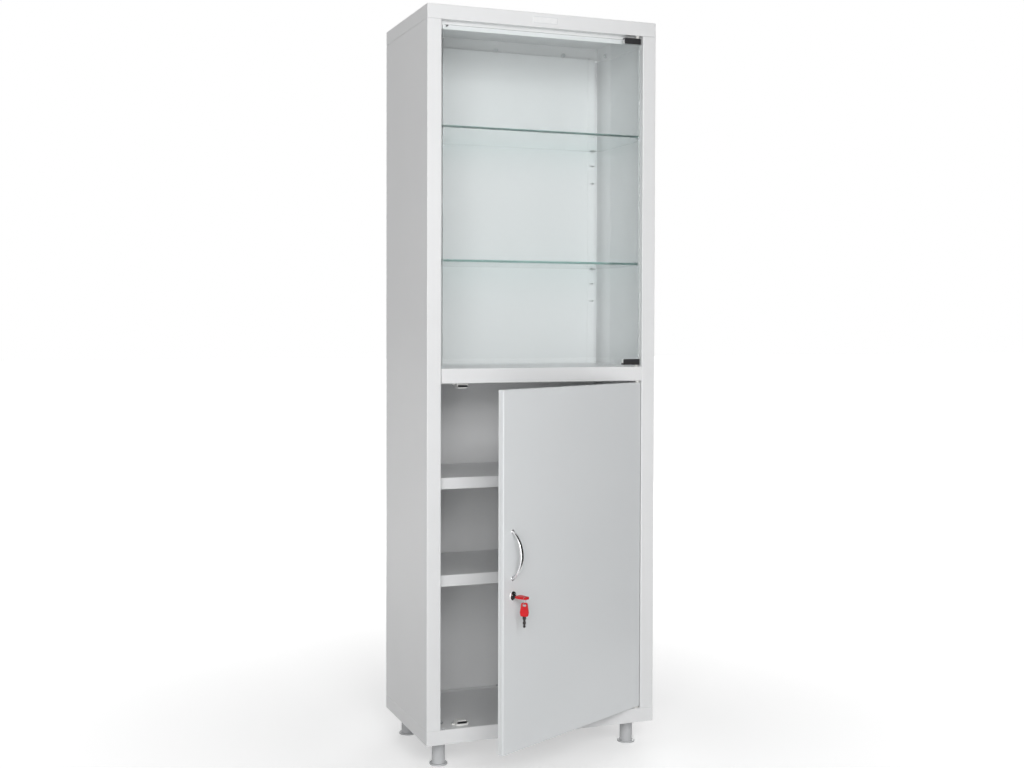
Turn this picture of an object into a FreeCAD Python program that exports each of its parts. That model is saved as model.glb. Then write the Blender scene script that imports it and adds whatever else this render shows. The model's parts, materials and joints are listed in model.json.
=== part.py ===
import FreeCAD, Part
import Sketcher
import os
import re

# Clinic medicine cabinet of folded sheet steel. X runs along the front, the front faces -Y, Z is up.
# The origin is on the floor under the middle of the carcass. Lengths in millimetres, angles in degrees.

os.makedirs("parts", exist_ok=True)
doc = FreeCAD.newDocument("medicine_cabinet")
Vector = FreeCAD.Vector

sizes = {
    # carcass
    "cabinet_width": 550,
    "cabinet_depth": 320,
    "upper_bay_height": 756,
    "lower_bay_height": 757,
    "leg_height": 58,
    "sheet_gauge": 1,
    "bend_radius": 2,
    "skirt_height": 32,
    "seam_gap": 0.5,
    "cut_overrun": 0.5,
    "hole_clearance": 0.1,
    # folded edges of the side panels
    "stile_width": 32.5,
    "stile_return": 25,
    "clip_flange": 16,
    "rear_return": 17.5,
    "rear_recess": 22,
    "rear_flange": 18,
    "tongue_height": 11,
    "tongue_lap": 8,
    "tongue_inset": 20,
    "foot_fold": 12,
    # back panel, cap and rails
    "back_overlap": 4.5,
    "back_fold": 16,
    "cap_return": 35,
    "cap_return_inset": 15,
    "rail_drop": 18,
    "rail_setback": 19,
    "rail_top_leg": 15,
    "rail_bottom_lip": 8,
    "rail_end_gap": 0.5,
    "back_head_height": 14,
    "badge_width": 58,
    "badge_height": 15,
    "badge_thickness": 0.8,
    # middle deck
    "deck_flange": 33,
    "deck_lip": 30,
    "deck_end_gap": 0.5,
    "deck_rear_flange": 25,
    "deck_screw_spacing": 14,
    # shelf slots and clips
    "slot_width": 11.5,
    "slot_height": 2.5,
    "slot_pitch": 43.5,
    "slot_inset": 8,
    "ledge_drop": 7.5,
    "clip_width": 10,
    "clip_gauge": 1.2,
    "clip_ledge": 14,
    "clip_hook": 3,
    "clip_hook_gap": 0.3,
    "clip_gap": 0.3,
    # shelves
    "glass_shelf_thickness": 5,
    "glass_corner_radius": 3,
    "steel_shelf_height": 25,
    "shelf_side_gap": 4,
    # legs
    "leg_diameter": 28.5,
    "foot_diameter": 40.5,
    "foot_thickness": 5,
    "foot_edge_radius": 1.5,
    "leg_side_inset": 44,
    "leg_front_inset": 51,
    "leg_rear_inset": 34,
    "leg_bolt_diameter": 8,
    "leg_bolt_length": 30,
    "leg_bolt_head_diameter": 15,
    "leg_bolt_head_height": 4.5,
    "leg_washer_diameter": 20,
    "leg_washer_thickness": 1.5,
    # small bolts, nuts, studs and screws
    "bolt_diameter": 5,
    "bolt_head_diameter": 9,
    "bolt_head_height": 2.5,
    "nut_width": 9.2,
    "nut_height": 4,
    "bolt_end": 2,
    "stud_rise": 5,
    "rear_stud_rise": 9,
    "stud_spacing": 210,
    "fold_bolt_spacing": 200,
    "rear_bolt_inset": 51,
    "screw_diameter": 3,
    "screw_head_diameter": 5.6,
    "screw_head_height": 1.8,
    "screw_length": 6,
    "rail_screw_inset": 42,
    # glass door
    "pane_thickness": 5,
    "pane_free_gap": 4,
    "pane_hinge_gap": 5,
    "pane_bottom_gap": 8,
    "pane_top_gap": 10.5,
    "pane_axis_inset": 11.5,
    "pane_axis_setback": 7,
    "clamp_length": 43,
    "clamp_height": 13,
    "clamp_thickness": 13,
    "clamp_end_gap": 5.5,
    "clamp_corner_radius": 2.5,
    "clamp_slot_depth": 9,
    "clamp_wall_gap": 0.8,
    "clamp_screw_inset": 13,
    "clamp_screw_spacing": 14,
    "clamp_screw_proud": 0.4,
    "pane_pin_diameter": 4,
    "pane_pin_end_gap": 0.4,
    "pane_bush_diameter": 8,
    "pane_bush_gap": 0.2,
    "bumper_diameter": 6,
    "bumper_stem_diameter": 3.6,
    "bumper_inset": 16.5,
    "bumper_drop": 11,
    "bumper_gap": 0.3,
    "bumper_stem_end": 2,
    # lower door
    "door_thickness": 15,
    "door_free_gap": 2,
    "door_hinge_gap": 3,
    "door_bottom_gap": 4,
    "door_top_gap": 4,
    "door_axis_inset": 8.5,
    "door_axis_setback": 6,
    "door_rest_angle": 28,
    "door_seam": 0.4,
    "stiffener_width": 40,
    "stiffener_end_gap": 30,
    "door_pin_diameter": 5,
    "door_pin_reach": 13,
    "door_pin_head_diameter": 10,
    "door_pin_head_height": 3,
    "pin_clearance": 0.05,
    "bush_diameter": 8,
    "bush_flange_diameter": 10.5,
    "bush_length": 14,
    "bush_float": 0.2,
    "spare_hole_diameter": 9,
    # catches and strikes
    "catch_inset": 55,
    "catch_width": 28,
    "catch_depth": 20,
    "catch_height": 11.5,
    "catch_ear": 6.4,
    "catch_ear_depth": 9,
    "catch_ear_height": 3,
    "catch_air": 0.5,
    "catch_gap": 0.2,
    "magnet_width": 21,
    "magnet_height": 4.4,
    "magnet_depth": 12,
    "magnet_level": 7,
    "strike_width": 24,
    "strike_height": 10,
    "strike_thickness": 1,
    "strike_edge_gap": 0.5,
    # bow handle
    "handle_inset": 28.5,
    "handle_rise": 413,
    "handle_spacing": 96,
    "handle_foot_height": 5,
    "handle_projection": 28,
    "handle_bar_width": 8,
    "handle_bar_depth": 5,
    "handle_edge_radius": 2,
    "handle_screw_diameter": 4,
    "handle_screw_grip": 4,
    "handle_screw_end_gap": 1,
    "handle_screw_head_diameter": 8,
    "handle_screw_head_height": 2,
    # cam lock
    "lock_inset": 29.5,
    "lock_rise": 329,
    "lock_flange_diameter": 20,
    "lock_flange_height": 2.5,
    "lock_flange_rim": 0.7,
    "lock_dome_diameter": 14,
    "lock_barrel_diameter": 16,
    "lock_barrel_end": 3.5,
    "lock_nut_width": 22,
    "lock_nut_height": 3,
    "plug_diameter": 11,
    "plug_clearance": 0.1,
    "plug_end": 0.5,
    "cam_length": 38,
    "cam_tail": 7,
    "cam_width": 10,
    "cam_gauge": 1.5,
    "cam_square": 5,
    "cam_screw_length": 5,
    "cam_screw_head_diameter": 7,
    "cam_screw_head_height": 2,
    "cam_slot_side_gap": 2,
    "cam_slot_end_gap": 4,
    # keys and ring
    "blade_width": 7.4,
    "blade_gauge": 2.2,
    "blade_length": 23,
    "blade_root": 8,
    "blade_notch": 1.6,
    "keyway_gap": 0.2,
    "bow_standoff": 12,
    "bow_length": 28,
    "bow_width": 20,
    "bow_root_width": 16,
    "bow_tip_width": 13,
    "bow_thickness": 5,
    "bow_edge_radius": 1.5,
    "bow_corner_radius": 3,
    "bow_hole_width": 8,
    "bow_hole_length": 6,
    "bow_end_bar": 2.8,
    "ring_radius": 8,
    "ring_wire_diameter": 1.2,
    "ring_seat_gap": 0.3,
    "ring_turn": 25,
    # heights of the shelves, as shares of the bay that they stand in
    "upper_glass_share": 0.697,
    "lower_glass_share": 0.309,
    "upper_steel_share": 0.692,
    "lower_steel_share": 0.408,
    # places along an outline, as shares of the length or width that they follow
    "bow_belly_share": 0.3,
    "bow_shoulder_share": 0.85,
    "first_notch_share": 0.3,
    "second_notch_share": 0.62,
    "notch_half_share": 0.09,
    "blade_point_share": 0.3,
}

# places worked out from the sizes above
places = {
    "half_width": "cabinet_width / 2",
    "half_depth": "cabinet_depth / 2",
    "front_y": "-half_depth",
    "base_top": "leg_height + skirt_height",
    "deck_bottom": "base_top + lower_bay_height",
    "deck_top": "deck_bottom + deck_flange",
    "cap_bottom": "deck_top + upper_bay_height",
    "cap_top": "cap_bottom + skirt_height",
    "wall_x": "half_width - sheet_gauge",
    "stile_x": "half_width - stile_width",
    "stile_back_y": "front_y + stile_return",
    "rear_x": "half_width - rear_return",
    "flange_y": "half_depth - rear_recess",
    "back_y": "flange_y + sheet_gauge",
    "skirt_y": "half_depth - sheet_gauge",
    "slot_x": "stile_x + slot_inset",
    "deck_end_x": "stile_x - deck_end_gap",
    "rail_y": "front_y + rail_setback",
    "rail_end_x": "stile_x - rail_end_gap",
    "rail_screw_spacing": "rail_end_x - rail_screw_inset",
    "stud_z": "cap_bottom + stud_rise",
    "rear_stud_z": "cap_bottom + rear_stud_rise",
    "fold_bolt_x": "wall_x - foot_fold / 2",
    "shelf_x": "wall_x - shelf_side_gap",
    "shelf_front_y": "stile_back_y + clip_gauge + clip_gap",
    "shelf_back_y": "flange_y - clip_gauge - clip_gap",
    "upper_glass_z": "deck_top + upper_bay_height * upper_glass_share",
    "lower_glass_z": "deck_top + upper_bay_height * lower_glass_share",
    "upper_steel_z": "base_top + lower_bay_height * upper_steel_share",
    "lower_steel_z": "base_top + lower_bay_height * lower_steel_share",
    "leg_x": "half_width - leg_side_inset",
    "rear_bolt_spacing": "leg_x - rear_bolt_inset",
    "leg_front_y": "front_y + leg_front_inset",
    "leg_rear_y": "half_depth - leg_rear_inset",
    "leg_length": "base_top - sheet_gauge",
    "pane_axis_x": "stile_x - pane_axis_inset",
    "pane_axis_y": "front_y + pane_axis_setback",
    "pane_left_x": "-stile_x + pane_free_gap",
    "pane_right_x": "stile_x - pane_hinge_gap",
    "pane_bottom": "deck_top + pane_bottom_gap",
    "pane_top": "cap_bottom - pane_top_gap",
    "clamp_right_x": "stile_x - clamp_end_gap",
    "bumper_x": "-stile_x + bumper_inset",
    "bumper_z": "cap_bottom - bumper_drop",
    "door_axis_x": "stile_x - door_axis_inset",
    "door_axis_y": "front_y + door_axis_setback",
    "door_bottom": "base_top + door_bottom_gap",
    "door_top": "deck_bottom - door_top_gap",
    "door_free_x": "-stile_x + door_free_gap - door_axis_x",
    "door_hinge_x": "door_axis_inset - door_hinge_gap",
    "door_face_y": "-door_axis_setback",
    "door_back_y": "door_thickness - door_axis_setback",
    "door_shell_depth": "(door_thickness - door_seam) / 2",
    "catch_x": "-stile_x + catch_inset",
    "catch_y": "front_y + door_thickness + strike_thickness + catch_air",
    "catch_screw_x": "(catch_width + catch_ear) / 2",
    "catch_screw_y": "catch_y + catch_depth - catch_ear_depth / 2",
    "handle_x": "door_free_x + handle_inset",
    "handle_z": "base_top + handle_rise",
    "handle_sag": "handle_projection - handle_foot_height - handle_bar_depth / 2",
    "handle_radius": "(handle_spacing ^ 2 / 4 + handle_sag ^ 2) / (2 * handle_sag)",
    "handle_centre_y": "door_face_y - handle_foot_height - handle_sag + handle_radius",
    "lock_x": "door_free_x + lock_inset",
    "lock_z": "base_top + lock_rise",
    "lock_face_y": "door_face_y - lock_flange_height",
    "lock_rear_y": "door_back_y + lock_barrel_end",
    "cam_y": "lock_rear_y + plug_end",
    "bow_near_y": "door_face_y - bow_standoff",
    "blade_tip_y": "bow_near_y + blade_length",
    "hole_far_y": "bow_length - bow_end_bar",
    "ring_bar": "(bow_tip_width - bow_hole_width) / 2",
    "ring_reach": "ring_radius - ring_wire_diameter / 2 - ring_seat_gap",
    "ring_bar_half": "ring_bar / 2 / cos(ring_turn * 1 deg)",
    "ring_x": "lock_x - (bow_hole_width + ring_bar) / 2",
    "ring_y": "bow_near_y - hole_far_y + bow_hole_length / 2 - ring_radius * sin(ring_turn * 1 deg) / 2",
    "ring_z": "lock_z + bow_thickness / 2 - sqrt(ring_reach ^ 2 - ring_bar_half ^ 2)",
    "spare_hang": "sqrt(ring_reach ^ 2 - bow_thickness ^ 2 / 4)",
    "spare_top": "bow_end_bar - spare_hang",
}

slot_rows = 3
same_place = 1e-4

sheet = doc.addObject("Spreadsheet::Sheet", "Sizes")
rows = [(name, str(value)) for name, value in sizes.items()]
rows += [(name, "=" + text) for name, text in places.items()]
for row, (name, content) in enumerate(rows, start=1):
    sheet.set(f"A{row}", name)
    sheet.set(f"B{row}", content)
    sheet.setAlias(f"B{row}", name)
doc.recompute()

words = set(sizes) | set(places)
nodes = []


def formula(text):
    """Turn a sum of size names into an expression that reads the sheet."""
    def cell(found):
        word = found.group()
        return "Sizes." + word if word in words else word
    return re.sub(r"[a-z]\w*", cell, str(text))


def number(text):
    return float(sheet.evalExpression(formula(text)))


def bind(item, **sums):
    for name, text in sums.items():
        item.setExpression(name, formula(text))


def place(item, x, y, z):
    for axis, text in zip("xyz", (x, y, z)):
        item.setExpression(f"Placement.Base.{axis}", formula(text))


def keep(item, label):
    """Name a finished sub-part, which is written to its own file."""
    item.Label = label
    nodes.append(item)
    return item


def on_door(item, x="0", y="0", z="0", turn="0"):
    """Carry a piece from the closed door's frame, which starts at the hinge axis, to the open door."""
    angle = "door_rest_angle * 1 deg"
    item.Placement = FreeCAD.Placement(Vector(), FreeCAD.Rotation(Vector(0, 0, 1), 1))
    place(item,
          f"door_axis_x + ({x}) * cos({angle}) - ({y}) * sin({angle})",
          f"door_axis_y + ({x}) * sin({angle}) + ({y}) * cos({angle})",
          z)
    bind(item, **{"Placement.Rotation.Angle": f"door_rest_angle + ({turn})"})
    return item


# Part primitives: each corner, centre and size is a sum of size names

axis_turns = {
    "z": FreeCAD.Rotation(),
    "x": FreeCAD.Rotation(Vector(0, 1, 0), 90),
    "y": FreeCAD.Rotation(Vector(1, 0, 0), -90),
}


def box(low, high):
    item = doc.addObject("Part::Box", "Block")
    spans = [f"({top}) - ({bottom})" for bottom, top in zip(low, high)]
    bind(item, Length=spans[0], Width=spans[1], Height=spans[2])
    place(item, *low)
    return item


def rod(start, radius, length, axis="z"):
    item = doc.addObject("Part::Cylinder", "Rod")
    item.Placement = FreeCAD.Placement(Vector(), axis_turns[axis])
    bind(item, Radius=radius, Height=length)
    place(item, *start)
    return item


def hexagon(start, width, length, axis):
    item = doc.addObject("Part::Prism", "Hexagon")
    item.Polygon = 6
    item.Placement = FreeCAD.Placement(Vector(), axis_turns[axis])
    bind(item, Circumradius=f"({width}) / 2 / cos(30 deg)", Height=length)
    place(item, *start)
    return item


def fuse(*items):
    joined = doc.addObject("Part::MultiFuse", "Joined")
    joined.Shapes = list(items)
    return joined


def cut(base, *tools):
    trimmed = doc.addObject("Part::Cut", "Trimmed")
    trimmed.Base = base
    trimmed.Tool = tools[0] if len(tools) == 1 else fuse(*tools)
    return trimmed


def group(label, items):
    """Separate solids of one kind that share a file."""
    gathered = doc.addObject("Part::Compound", "Gathered")
    gathered.Links = list(items)
    return keep(gathered, label)


# PartDesign bodies: a sketch lies on an origin plane of its body, moved to a level along that plane's axis.
# The sign tells whether the plane's normal runs along + or - of that axis.

plane_signs = {"XY_Plane": 1, "XZ_Plane": -1, "YZ_Plane": 1}


def new_body(label):
    return keep(doc.addObject("PartDesign::Body", "Body"), label)


def polygon(*points):
    return ("polygon", points)


def rectangle(x0, y0, x1, y1):
    return ("polygon", ((x0, y0), (x1, y0), (x1, y1), (x0, y1)))


def circle(x, y, diameter):
    return ("circle", (x, y, diameter))


def hold_point(sketch, line, end, point):
    for kind, text in zip(("DistanceX", "DistanceY"), point):
        index = sketch.addConstraint(Sketcher.Constraint(kind, line, end, number(text)))
        sketch.setExpression(f"Constraints[{index}]", formula(text))


def sketch_on(body, role, level, loops, centre=("0", "0")):
    """Draw closed loops, every corner held by a bound distance, on an origin plane moved to a level."""
    sketch = body.newObject("Sketcher::SketchObject", "Outline")
    plane = [item for item in body.Origin.OriginFeatures if item.Role == role][0]
    sketch.AttachmentSupport = [(plane, "")]
    sketch.MapMode = "FlatFace"
    bind(sketch, **{"AttachmentOffset.Base.x": centre[0], "AttachmentOffset.Base.y": centre[1],
                    "AttachmentOffset.Base.z": f"{plane_signs[role]} * ({level})"})
    for kind, data in loops:
        if kind == "circle":
            x, y, diameter = data
            middle = Vector(number(x), number(y), 0)
            ring = sketch.addGeometry(Part.Circle(middle, Vector(0, 0, 1), number(diameter) / 2), False)
            hold_point(sketch, ring, 3, (x, y))
            index = sketch.addConstraint(Sketcher.Constraint("Diameter", ring, number(diameter)))
            sketch.setExpression(f"Constraints[{index}]", formula(diameter))
            continue
        corners = [Vector(number(x), number(y), 0) for x, y in data]
        first = sketch.GeometryCount
        count = len(corners)
        for index in range(count):
            sketch.addGeometry(Part.LineSegment(corners[index], corners[(index + 1) % count]), False)
        for index in range(count):
            following = first + (index + 1) % count
            sketch.addConstraint(Sketcher.Constraint("Coincident", first + index, 2, following, 1))
            hold_point(sketch, first + index, 1, data[index])
    return sketch


def pad(body, role, level, loops, length, toward=1):
    """Add material from a level, towards + or - along the axis that the plane faces."""
    feature = body.newObject("PartDesign::Pad", "Pad")
    feature.Profile = sketch_on(body, role, level, loops)
    feature.Reversed = toward != plane_signs[role]
    bind(feature, Length=length)
    doc.recompute()
    return feature


def pocket(body, role, level, loops, length, toward=1):
    """Take material away from a level, towards + or - along the axis that the plane faces."""
    before = body.Shape.Volume
    feature = body.newObject("PartDesign::Pocket", "Pocket")
    feature.Profile = sketch_on(body, role, level, loops)
    feature.Reversed = toward == plane_signs[role]
    bind(feature, Length=length)
    doc.recompute()
    if not body.Shape.Volume < before:
        raise RuntimeError(f"a pocket in {body.Label} cuts nothing")
    return feature


def through(body, role, level, loops, toward=1):
    """Pierce one sheet whose near face lies at a level."""
    start = f"{level} - {toward} * cut_overrun"
    return pocket(body, role, start, loops, "sheet_gauge + 2 * cut_overrun", toward)


def turned(body, role, level, centre, loops, axis, angle="360"):
    """Revolve a section about its sketch's own axis."""
    feature = body.newObject("PartDesign::Revolution", "Turned")
    sketch = sketch_on(body, role, level, loops, centre)
    feature.Profile = sketch
    feature.ReferenceAxis = (sketch, [axis])
    feature.Midplane = angle != "360"
    bind(feature, Angle=angle)
    doc.recompute()
    return feature


def round_edges(body, radius, wanted):
    """Round the edges of a body whose middle and direction answer a question."""
    tip = body.Tip
    names = []
    for index, edge in enumerate(tip.Shape.Edges, start=1):
        first = edge.Vertexes[0].Point
        last = edge.Vertexes[-1].Point
        if wanted((first + last) * 0.5, last - first):
            names.append(f"Edge{index}")
    if not names:
        raise RuntimeError(f"no edge of {body.Label} to round")
    fillet = body.newObject("PartDesign::Fillet", "Rounded")
    fillet.Base = (tip, names)
    bind(fillet, Radius=radius)
    doc.recompute()


def near(value, text):
    return abs(value - number(text)) < same_place


def upright(run):
    return abs(run.x) < same_place and abs(run.y) < same_place


def level_run(run):
    return abs(run.z) < same_place


def fore_and_aft(run):
    return abs(run.x) < same_place and abs(run.z) < same_place


# Holes and levels that several sheets share

bolt_hole = "bolt_diameter + 2 * hole_clearance"
screw_hole = "screw_diameter + 2 * hole_clearance"
pane_pin_hole = "pane_pin_diameter + 2 * hole_clearance"
door_pin_hole = "door_pin_diameter + 2 * hole_clearance"
deck_screw_y = "front_y + stile_return / 2"
deck_screw_levels = [f"deck_top - deck_flange / 2 + {end} * deck_screw_spacing / 2" for end in (-1, 1)]
shelf_levels = ["upper_glass_z", "lower_glass_z", "upper_steel_z", "lower_steel_z"]


# Side panels: one sheet folded into a hollow front stile and a stepped rear edge


def side_panel(label, side):
    def across(text):
        return f"{side} * ({text})"

    body = new_body(label)
    section = [
        ("half_width", "front_y"),
        ("half_width", "half_depth"),
        ("rear_x", "half_depth"),
        ("rear_x", "back_y"),
        ("rear_x - rear_flange", "back_y"),
        ("rear_x - rear_flange", "flange_y"),
        ("rear_x + sheet_gauge", "flange_y"),
        ("rear_x + sheet_gauge", "half_depth - sheet_gauge"),
        ("wall_x", "half_depth - sheet_gauge"),
        ("wall_x", "front_y + sheet_gauge"),
        ("stile_x + sheet_gauge", "front_y + sheet_gauge"),
        ("stile_x + sheet_gauge", "stile_back_y - sheet_gauge"),
        ("stile_x + clip_flange", "stile_back_y - sheet_gauge"),
        ("stile_x + clip_flange", "stile_back_y"),
        ("stile_x", "stile_back_y"),
        ("stile_x", "front_y"),
    ]
    outline = polygon(*[(across(x), y) for x, y in section])
    pad(body, "XY_Plane", "base_top", [outline], "cap_bottom - seam_gap - base_top")
    corners = [("half_width", "front_y"), ("stile_x", "front_y"), ("half_width", "half_depth"),
               ("rear_x", "half_depth")]

    def outer_bend(middle, run):
        return upright(run) and any(near(middle.x, across(x)) and near(middle.y, y) for x, y in corners)

    round_edges(body, "bend_radius", outer_bend)
    tongue = rectangle(across("wall_x"), "front_y + tongue_inset",
                       across("wall_x - sheet_gauge"), "half_depth - tongue_inset")
    pad(body, "XY_Plane", "cap_bottom - seam_gap - tongue_lap", [tongue],
        "tongue_lap + seam_gap + tongue_height")
    fold = rectangle(across("wall_x"), "front_y + tongue_inset",
                     across("wall_x - foot_fold"), "half_depth - tongue_inset")
    pad(body, "XY_Plane", "base_top", [fold], "sheet_gauge")
    slots = []
    for level in shelf_levels:
        for index in range(slot_rows):
            middle = f"{level} + ledge_drop - {index} * slot_pitch"
            slots.append(rectangle(across("slot_x - slot_width / 2"), f"{middle} - slot_height / 2",
                                   across("slot_x + slot_width / 2"), f"{middle} + slot_height / 2"))
    through(body, "XZ_Plane", "stile_back_y - sheet_gauge", slots)
    through(body, "XZ_Plane", "flange_y", slots)
    studs = [circle(f"{end} * stud_spacing / 2", "stud_z", bolt_hole) for end in (-1, 1)]
    through(body, "YZ_Plane", across("wall_x - sheet_gauge"), studs, side)
    bolts = [circle(across("fold_bolt_x"), f"{end} * fold_bolt_spacing / 2", bolt_hole) for end in (-1, 1)]
    through(body, "XY_Plane", "base_top", bolts)
    screws = [circle(deck_screw_y, z, screw_hole) for z in deck_screw_levels]
    through(body, "YZ_Plane", across("stile_x"), screws, side)
    return body


side_panel("right_side_panel", 1)
left_panel = side_panel("left_side_panel", -1)

# Mouth in the left stile that the lock's cam swings into
cam_mouth = rectangle("door_axis_y + cam_y - cam_slot_side_gap", "lock_z - cam_width / 2 - cam_slot_end_gap",
                      "door_axis_y + cam_y + cam_gauge + cam_slot_side_gap",
                      "lock_z + cam_length - cam_slot_end_gap")
through(left_panel, "YZ_Plane", "-stile_x", [cam_mouth], -1)

# Back panel: a flat sheet with a foot that lies on the base and a step at its head that bolts to the cap
back_panel = new_body("back_panel")
back_half = "(rear_x - rear_flange + back_overlap)"
pad(back_panel, "XZ_Plane", "back_y",
    [rectangle(f"-{back_half}", "base_top", back_half, "cap_bottom")], "sheet_gauge")
back_foot_half = "(leg_x - leg_washer_diameter / 2 - seam_gap)"
pad(back_panel, "XY_Plane", "base_top",
    [rectangle(f"-{back_foot_half}", "back_y - back_fold", back_foot_half, "back_y")], "sheet_gauge")
rear_bolt_places = [f"{step} * rear_bolt_spacing" for step in (-1, 0, 1)]
back_head = polygon(("back_y", "cap_bottom - sheet_gauge"), ("skirt_y", "cap_bottom - sheet_gauge"),
                    ("skirt_y", "cap_bottom + back_head_height"),
                    ("skirt_y - sheet_gauge", "cap_bottom + back_head_height"),
                    ("skirt_y - sheet_gauge", "cap_bottom"), ("back_y", "cap_bottom"))
pad(back_panel, "YZ_Plane", f"-{back_half}", [back_head], f"2 * {back_half}")
through(back_panel, "XZ_Plane", "skirt_y - sheet_gauge",
        [circle(x, "rear_stud_z", bolt_hole) for x in rear_bolt_places])
through(back_panel, "XY_Plane", "base_top",
        [circle(x, "back_y - back_fold / 2", bolt_hole) for x in rear_bolt_places])


# Cap and base: trays with a skirt all round, folded from one sheet

def outer_fold(middle, run):
    on_side = near(abs(middle.x), "half_width")
    on_end = near(abs(middle.y), "half_depth")
    return (upright(run) and on_side and on_end) or (level_run(run) and (on_side or on_end))


def tray(label, bottom, top):
    body = new_body(label)
    pad(body, "XY_Plane", bottom, [rectangle("-half_width", "front_y", "half_width", "half_depth")],
        "skirt_height")
    round_edges(body, "bend_radius",
                lambda middle, run: outer_fold(middle, run) and not near(middle.z, bottom))
    pocket(body, "XY_Plane", f"{bottom} - cut_overrun",
           [rectangle("-wall_x", "front_y + sheet_gauge", "wall_x", "half_depth - sheet_gauge")],
           f"{top} - sheet_gauge - ({bottom}) + cut_overrun")
    return body


cap = tray("top_cap", "cap_bottom", "cap_top")
return_half = "(wall_x - cap_return_inset)"
cap_lip = rectangle(f"-{return_half}", "front_y + sheet_gauge", return_half, "front_y + cap_return")
pad(cap, "XY_Plane", "cap_bottom", [cap_lip], "sheet_gauge")
rail_screw_y = "(rail_y + rail_top_leg / 2 + sheet_gauge)"
rail_screw_places = [f"{step} * rail_screw_spacing" for step in (-1, 0, 1)]
cap_holes = [circle(f"{side} * pane_axis_x", "pane_axis_y", pane_pin_hole) for side in (-1, 1)]
cap_holes += [circle(x, rail_screw_y, screw_hole) for x in rail_screw_places]
through(cap, "XY_Plane", "cap_bottom", cap_holes)

base = tray("base_pan", "leg_height", "base_top")
leg_places = [("front_left", "-leg_x", "leg_front_y"), ("front_right", "leg_x", "leg_front_y"),
              ("rear_left", "-leg_x", "leg_rear_y"), ("rear_right", "leg_x", "leg_rear_y")]
catch_screw_places = [f"catch_x + {side} * catch_screw_x" for side in (-1, 1)]
fold_bolt_places = [(f"{side} * fold_bolt_x", f"{end} * fold_bolt_spacing / 2")
                    for side in (-1, 1) for end in (-1, 1)]
foot_bolt_places = fold_bolt_places + [(x, "back_y - back_fold / 2") for x in rear_bolt_places]
base_holes = [circle(x, y, "leg_bolt_diameter + 2 * hole_clearance") for name, x, y in leg_places]
base_holes += [circle(x, y, bolt_hole) for x, y in foot_bolt_places]
base_holes += [circle(x, "catch_screw_y", screw_hole) for x in catch_screw_places]
base_holes += [circle("door_axis_x", "door_axis_y", door_pin_hole),
               circle("-door_axis_x", "door_axis_y", "spare_hole_diameter")]
through(base, "XY_Plane", "base_top - sheet_gauge", base_holes)

# Stop rail that hangs under the cap behind the glass door
stop_rail = new_body("stop_rail")
rail_low = "(cap_bottom - rail_drop)"
stop_section = polygon(("rail_y", rail_low), ("rail_y + rail_bottom_lip", rail_low),
                       ("rail_y + rail_bottom_lip", f"{rail_low} + sheet_gauge"),
                       ("rail_y + sheet_gauge", f"{rail_low} + sheet_gauge"),
                       ("rail_y + sheet_gauge", "cap_bottom - sheet_gauge"),
                       ("rail_y + rail_top_leg", "cap_bottom - sheet_gauge"),
                       ("rail_y + rail_top_leg", "cap_bottom"), ("rail_y", "cap_bottom"))
pad(stop_rail, "YZ_Plane", "-rail_end_x", [stop_section], "2 * rail_end_x")
through(stop_rail, "XZ_Plane", "rail_y",
        [circle("bumper_x", "bumper_z", "bumper_stem_diameter + 2 * hole_clearance")])
through(stop_rail, "XY_Plane", "cap_bottom - sheet_gauge",
        [circle(x, rail_screw_y, screw_hole) for x in rail_screw_places])

# Blank plate in the middle of the cap's front
badge = new_body("badge_plate")
badge_z = "(cap_bottom + skirt_height / 2)"
pad(badge, "XZ_Plane", "front_y", [rectangle("-badge_width / 2", f"{badge_z} - badge_height / 2",
                                             "badge_width / 2", f"{badge_z} + badge_height / 2")],
    "badge_thickness", -1)
round_edges(badge, "bend_radius", lambda middle, run: fore_and_aft(run))

# Middle deck: a plate with a C fold between the stiles, side flanges for its screws and a rear flange
deck = new_body("middle_deck")
fold_section = polygon(("front_y", "deck_bottom"), ("front_y + deck_lip", "deck_bottom"),
                       ("front_y + deck_lip", "deck_bottom + sheet_gauge"),
                       ("front_y + sheet_gauge", "deck_bottom + sheet_gauge"),
                       ("front_y + sheet_gauge", "deck_top - sheet_gauge"),
                       ("flange_y", "deck_top - sheet_gauge"), ("flange_y", "deck_top"),
                       ("front_y", "deck_top"))
pad(deck, "YZ_Plane", "-deck_end_x", [fold_section], "2 * deck_end_x")
round_edges(deck, "bend_radius", lambda middle, run: near(middle.y, "front_y") and level_run(run))
cheek = rectangle("front_y + sheet_gauge", "deck_bottom + sheet_gauge",
                  "stile_back_y", "deck_top - sheet_gauge")
for side in (-1, 1):
    wing = rectangle(f"{side} * deck_end_x", "stile_back_y + deck_end_gap", f"{side} * wall_x", "flange_y")
    pad(deck, "XY_Plane", "deck_top - sheet_gauge", [wing], "sheet_gauge")
    pad(deck, "YZ_Plane", f"{side} * deck_end_x", [cheek], "sheet_gauge", -side)
deck_rear_half = "(rear_x - rear_flange)"
rear_flange = rectangle(f"-{deck_rear_half}", "deck_top - deck_rear_flange",
                        deck_rear_half, "deck_top - sheet_gauge")
pad(deck, "XZ_Plane", "flange_y", [rear_flange], "sheet_gauge", -1)
for side in (-1, 1):
    through(deck, "YZ_Plane", f"{side} * (deck_end_x - sheet_gauge)",
            [circle(deck_screw_y, z, screw_hole) for z in deck_screw_levels], side)
through(deck, "XY_Plane", "deck_top - sheet_gauge", [circle("pane_axis_x", "pane_axis_y", pane_pin_hole)])
lip_holes = [circle(x, "catch_screw_y", screw_hole) for x in catch_screw_places]
lip_holes.append(circle("door_axis_x", "door_axis_y", door_pin_hole))
through(deck, "XY_Plane", "deck_bottom", lip_holes)


# Shelves and the clips that carry them

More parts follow.
